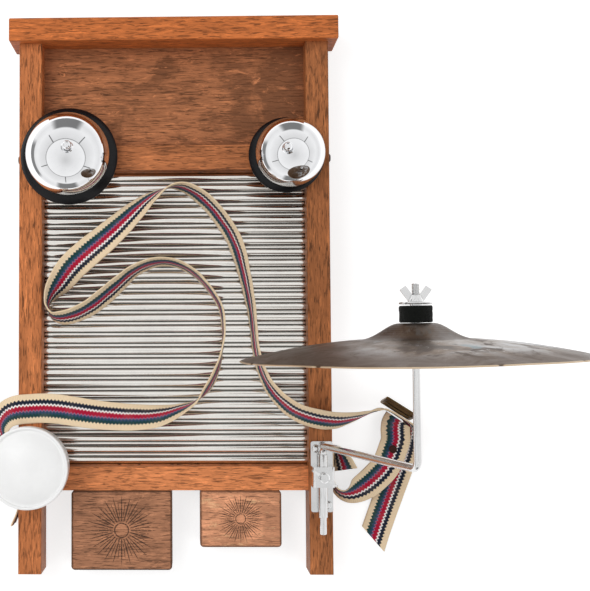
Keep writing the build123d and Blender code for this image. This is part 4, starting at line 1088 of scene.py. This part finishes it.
def smooth_route(places, step):
    """A smooth line through given places, each a point with the webbing's roll."""
    knots = [Vector((x, y, z, math.radians(roll) * 0.02)) for x, y, z, roll in places]
    knots = [knots[0] * 2 - knots[1], *knots, knots[-1] * 2 - knots[-2]]
    line = []
    for index in range(1, len(knots) - 2):
        p0, p1, p2, p3 = knots[index - 1:index + 3]
        gaps = [max((b - a).length, 1e-6) ** 0.5 for a, b in ((p0, p1), (p1, p2), (p2, p3))]
        m1 = ((p1 - p0) / gaps[0] - (p2 - p0) / (gaps[0] + gaps[1]) + (p2 - p1) / gaps[1]) * gaps[1]
        m2 = ((p2 - p1) / gaps[1] - (p3 - p1) / (gaps[1] + gaps[2]) + (p3 - p2) / gaps[2]) * gaps[1]
        count = max(2, round((p2 - p1).length / step))
        for part in range(count):
            t = part / count
            line.append(p1 * (2 * t ** 3 - 3 * t ** 2 + 1) + m1 * (t ** 3 - 2 * t ** 2 + t)
                        + p2 * (3 * t ** 2 - 2 * t ** 3) + m2 * (t ** 3 - t ** 2))
    line.append(knots[-2])
    return [(Vector(knot[:3]) + BOARD_MIDDLE, knot[3] / 0.02) for knot in line]


def ribbon(route, width, thickness):
    """Woven band along a route: points, faces and the map across and along it."""
    columns = 20
    half = width / 2
    section = []
    for column in range(columns + 1):
        section.append((-half + width * column / columns, 1.0))
    section.append((half + thickness * 0.18, 0.0))
    for column in range(columns, -1, -1):
        section.append((-half + width * column / columns, -1.0))
    section.append((-half - thickness * 0.18, 0.0))
    points = []
    uv = []
    rings = []
    run = 0.0
    for index, (centre, roll) in enumerate(route):
        before = route[max(index - 1, 0)][0]
        after = route[min(index + 1, len(route) - 1)][0]
        heading = (after - before).normalized()
        side = Vector((-heading.y, heading.x, 0)).normalized()
        up = heading.cross(side)
        across = up * math.cos(roll) + side * math.sin(roll)
        normal = heading.cross(across)
        if index:
            run += (centre - route[index - 1][0]).length
        rings.append([len(points) + step for step in range(len(section))])
        for out, level in section:
            edge = abs(out) / half
            lift = thickness / 2 * (0.86 if 0.25 < edge < 0.93 else 1.0) * level
            if edge > 0.97:
                lift *= 0.75
            ripple = 0.00012 * math.sin(run * 310 + out * 260) + 0.00010 * math.sin(run * 97 + out * 410)
            points.append(centre + across * out + normal * (lift + ripple))
            uv.append((out / width + 0.5, run))
    faces = skin(zip(rings, rings[1:]), len(section))
    faces.append(rings[0][::-1])
    faces.append(rings[-1])
    return points, faces, uv


class WASHBOARD_OT_strap(bpy.types.Operator):
    """Make the striped webbing strap and the short strap that anchors its buckle"""

    bl_idname = "washboard.strap"
    bl_label = "Strap"

    def execute(self, context):
        look = context.scene.washboard_strap
        material = webbing_finish(look)
        points, faces, uv = ribbon(smooth_route(MAIN_STRAP, 0.0016), look.width, look.thickness)
        strap = piece("main_strap", (points, faces), material, "board",
                      stands_for=STRAP_NODES, crease=75.0, uv=uv)
        self.slant(strap)
        points, faces, uv = ribbon(smooth_route(ANCHOR_STRAP, 0.0016), look.width, look.thickness)
        anchor = piece("anchor_strap", (points, faces), material, "board",
                       stands_for=["strap_anchor"], crease=75.0, uv=uv)
        return {"FINISHED"}

    def slant(self, strap):
        """Cuts the free end on the slant and closes it."""
        start = Vector((*TAIL_CUT[0], 0)) + BOARD_MIDDLE
        end = Vector((*TAIL_CUT[1], 0)) + BOARD_MIDDLE
        along = (end - start).normalized()
        outward = Vector((along.y, -along.x, 0))
        if outward.y > 0:
            outward = -outward
        near = [vertex for vertex in strap.data.vertices if vertex.co.x > end.x - 0.05 and vertex.co.z < 0.004]
        made = bmesh.new()
        made.from_mesh(strap.data)
        made.verts.ensure_lookup_table()
        chosen = {made.verts[vertex.index] for vertex in near}
        faces = {face for vertex in chosen for face in vertex.link_faces}
        edges = {edge for face in faces for edge in face.edges}
        verts = {vertex for face in faces for vertex in face.verts}
        cut = bmesh.ops.bisect_plane(made, geom=list(verts | edges | faces), plane_co=start, plane_no=outward,
                                     clear_outer=True)
        rim = [item for item in cut["geom_cut"] if isinstance(item, bmesh.types.BMEdge)]
        bmesh.ops.edgeloop_fill(made, edges=[edge for edge in rim if edge.is_boundary])
        made.to_mesh(strap.data)
        made.free()


class WASHBOARD_OT_stage(bpy.types.Operator):
    """Set up the plain floor, the soft lamps and the camera"""

    bl_idname = "washboard.stage"
    bl_label = "Stage"

    def execute(self, context):
        look = context.scene.washboard_stage
        self.floor(look)
        self.sky(look)
        self.lamps(look)
        self.camera(context, look)
        context.scene.view_settings.view_transform = "Standard"
        return {"FINISHED"}

    def floor(self, look):
        mesh = bpy.data.meshes.new("floor")
        reach = 6.0
        level = -0.0003
        corners = [(-reach, -reach, level), (reach, -reach, level), (reach, reach, level), (-reach, reach, level)]
        mesh.from_pydata(corners, [], [(0, 1, 2, 3)])
        finish = Finish("plain_floor", roughness=0.9)
        dust = finish.noise(finish.spot(), 3.0, 2.0, 0.5)
        shade = finish.mix(dust, tint(look.floor, 0.98), tuple(look.floor))
        finish.paint(shade)
        path = finish.nodes.new("ShaderNodeLightPath").outputs
        seen = finish.sum("MAXIMUM", finish.sum("MAXIMUM", path["Is Camera Ray"], path["Is Glossy Ray"]),
                          path["Is Transmission Ray"])
        finish.shader.inputs["Emission Color"].default_value = (1, 1, 1, 1)
        finish.links.new(finish.sum("MULTIPLY", seen, look.glow), finish.shader.inputs["Emission Strength"])
        mesh.materials.append(finish.material)
        floor = bpy.data.objects.new("floor", mesh)
        bpy.context.scene.collection.objects.link(floor)

    def sky(self, look):
        """Even light, seen as white by the camera and as a ring of soft panels in metal."""
        world = bpy.data.worlds.new("studio")
        world.use_nodes = True
        bpy.context.scene.world = world
        studio = Wiring(world.node_tree)
        path = studio.nodes.new("ShaderNodeLightPath").outputs
        seen = studio.sum("MAXIMUM", path["Is Camera Ray"], path["Is Transmission Ray"])
        shade = studio.mix(path["Is Glossy Ray"], look.sky, self.panels(studio))
        shade = studio.mix(seen, shade, 1.0)
        studio.links.new(shade, studio.nodes["Background"].inputs["Color"])

    def panels(self, studio):
        """A round panel overhead and five side panels with dark seams, down to a dim horizon."""
        x, y, z = studio.axes(studio.where.outputs["Generated"])
        spread = studio.sum("ADD", studio.sum("MAXIMUM", z, -0.9), 1.0)
        across = studio.sum("DIVIDE", x, spread)
        along = studio.sum("ADD", studio.sum("DIVIDE", y, spread), 0.05)
        out = studio.length(across, along)
        light = studio.ramp(out, [
            (0.0, 0.68), (0.14, 0.88), (0.335, 1.0), (0.348, 0.25), (0.360, 0.80), (0.60, 0.97),
            (0.80, 0.86), (1.0, 1.0),
        ])
        turn = studio.sum("ARCTAN2", along, across)
        step = studio.sum("PINGPONG", studio.sum("ADD", studio.sum("MULTIPLY", turn, 5 / (2 * math.pi)), 0.28), 0.5)
        seam = studio.between(studio.sum("MULTIPLY", step, out), 0.010, 0.004)
        ring = studio.sum("MULTIPLY", studio.sum("GREATER_THAN", out, 0.348), studio.sum("LESS_THAN", out, 0.55))
        light = studio.mix(studio.sum("MULTIPLY", studio.sum("MULTIPLY", seam, ring), 0.85), light, 0.05)
        upright = studio.sum("DIVIDE", studio.sum("ABSOLUTE", along), studio.sum("MAXIMUM", out, 0.001))
        gap = studio.sum("MULTIPLY", studio.between(upright, 0.90, 0.97), studio.between(out, 0.58, 0.64))
        light = studio.mix(gap, light, 0.22)
        left = studio.sum("DIVIDE", studio.sum("MULTIPLY", across, -1.0), studio.sum("MAXIMUM", out, 0.001))
        gap = studio.sum("MULTIPLY", studio.between(left, 0.80, 0.92), studio.between(out, 0.74, 0.80))
        return studio.mix(gap, light, 0.25)

    def lamps(self, look):
        aim = Vector((0.0, BOARD_MIDDLE.y, 0.0))
        places = (("key_lamp", (-1.1, 0.7, 1.7), 1.4, 1.0), ("fill_lamp", (1.3, -0.9, 1.5), 1.6, 0.35))
        for name, place, size, part in places:
            light = bpy.data.lights.new(name, "AREA")
            light.shape = "DISK"
            light.size = size
            light.energy = look.key * part
            lamp = bpy.data.objects.new(name, light)
            bpy.context.scene.collection.objects.link(lamp)
            lamp.visible_glossy = False
            lamp.location = aim + Vector(place)
            lamp.rotation_euler = (-Vector(place)).to_track_quat("-Z", "Y").to_euler()

    def camera(self, context, look):
        lens = bpy.data.cameras.new("camera")
        lens.lens = look.lens
        lens.sensor_width = 36.0
        lens.shift_x, lens.shift_y = look.shift
        lens.clip_start = 0.01
        camera = bpy.data.objects.new("camera", lens)
        context.scene.collection.objects.link(camera)
        camera.location = Vector(look.eye) + BOARD_MIDDLE
        camera.rotation_euler = (look.pitch, look.turn, look.roll)
        context.scene.camera = camera


class WASHBOARD_PT_panel(bpy.types.Panel):
    """Lists the washboard's pieces"""

    bl_idname = "WASHBOARD_PT_panel"
    bl_label = "Washboard"
    bl_space_type = "VIEW_3D"
    bl_region_type = "UI"
    bl_category = "Washboard"

    def draw(self, context):
        for step in OPERATORS:
            self.layout.operator(step.bl_idname)


OPERATORS = (
    WASHBOARD_OT_stage,
    WASHBOARD_OT_board,
    WASHBOARD_OT_blocks,
    WASHBOARD_OT_sheet,
    WASHBOARD_OT_bells,
    WASHBOARD_OT_arm,
    WASHBOARD_OT_cymbal,
    WASHBOARD_OT_felts,
    WASHBOARD_OT_tin,
    WASHBOARD_OT_fasteners,
    WASHBOARD_OT_strap,
)
SETTINGS = {
    "washboard_wood": WashboardWood,
    "washboard_metal": WashboardMetal,
    "washboard_cymbal": WashboardCymbal,
    "washboard_strap": WashboardStrap,
    "washboard_stage": WashboardStage,
}


def register():
    for group in (*SETTINGS.values(), *OPERATORS, WASHBOARD_PT_panel):
        bpy.utils.register_class(group)
    for name, group in SETTINGS.items():
        setattr(bpy.types.Scene, name, PointerProperty(type=group))


def unregister():
    for name in SETTINGS:
        delattr(bpy.types.Scene, name)
    for group in reversed((*SETTINGS.values(), *OPERATORS, WASHBOARD_PT_panel)):
        bpy.utils.unregister_class(group)


def main():
    register()
    for step in OPERATORS:
        family, name = step.bl_idname.split(".")
        getattr(getattr(bpy.ops, family), name)()


if __name__ == "__main__":
    main()
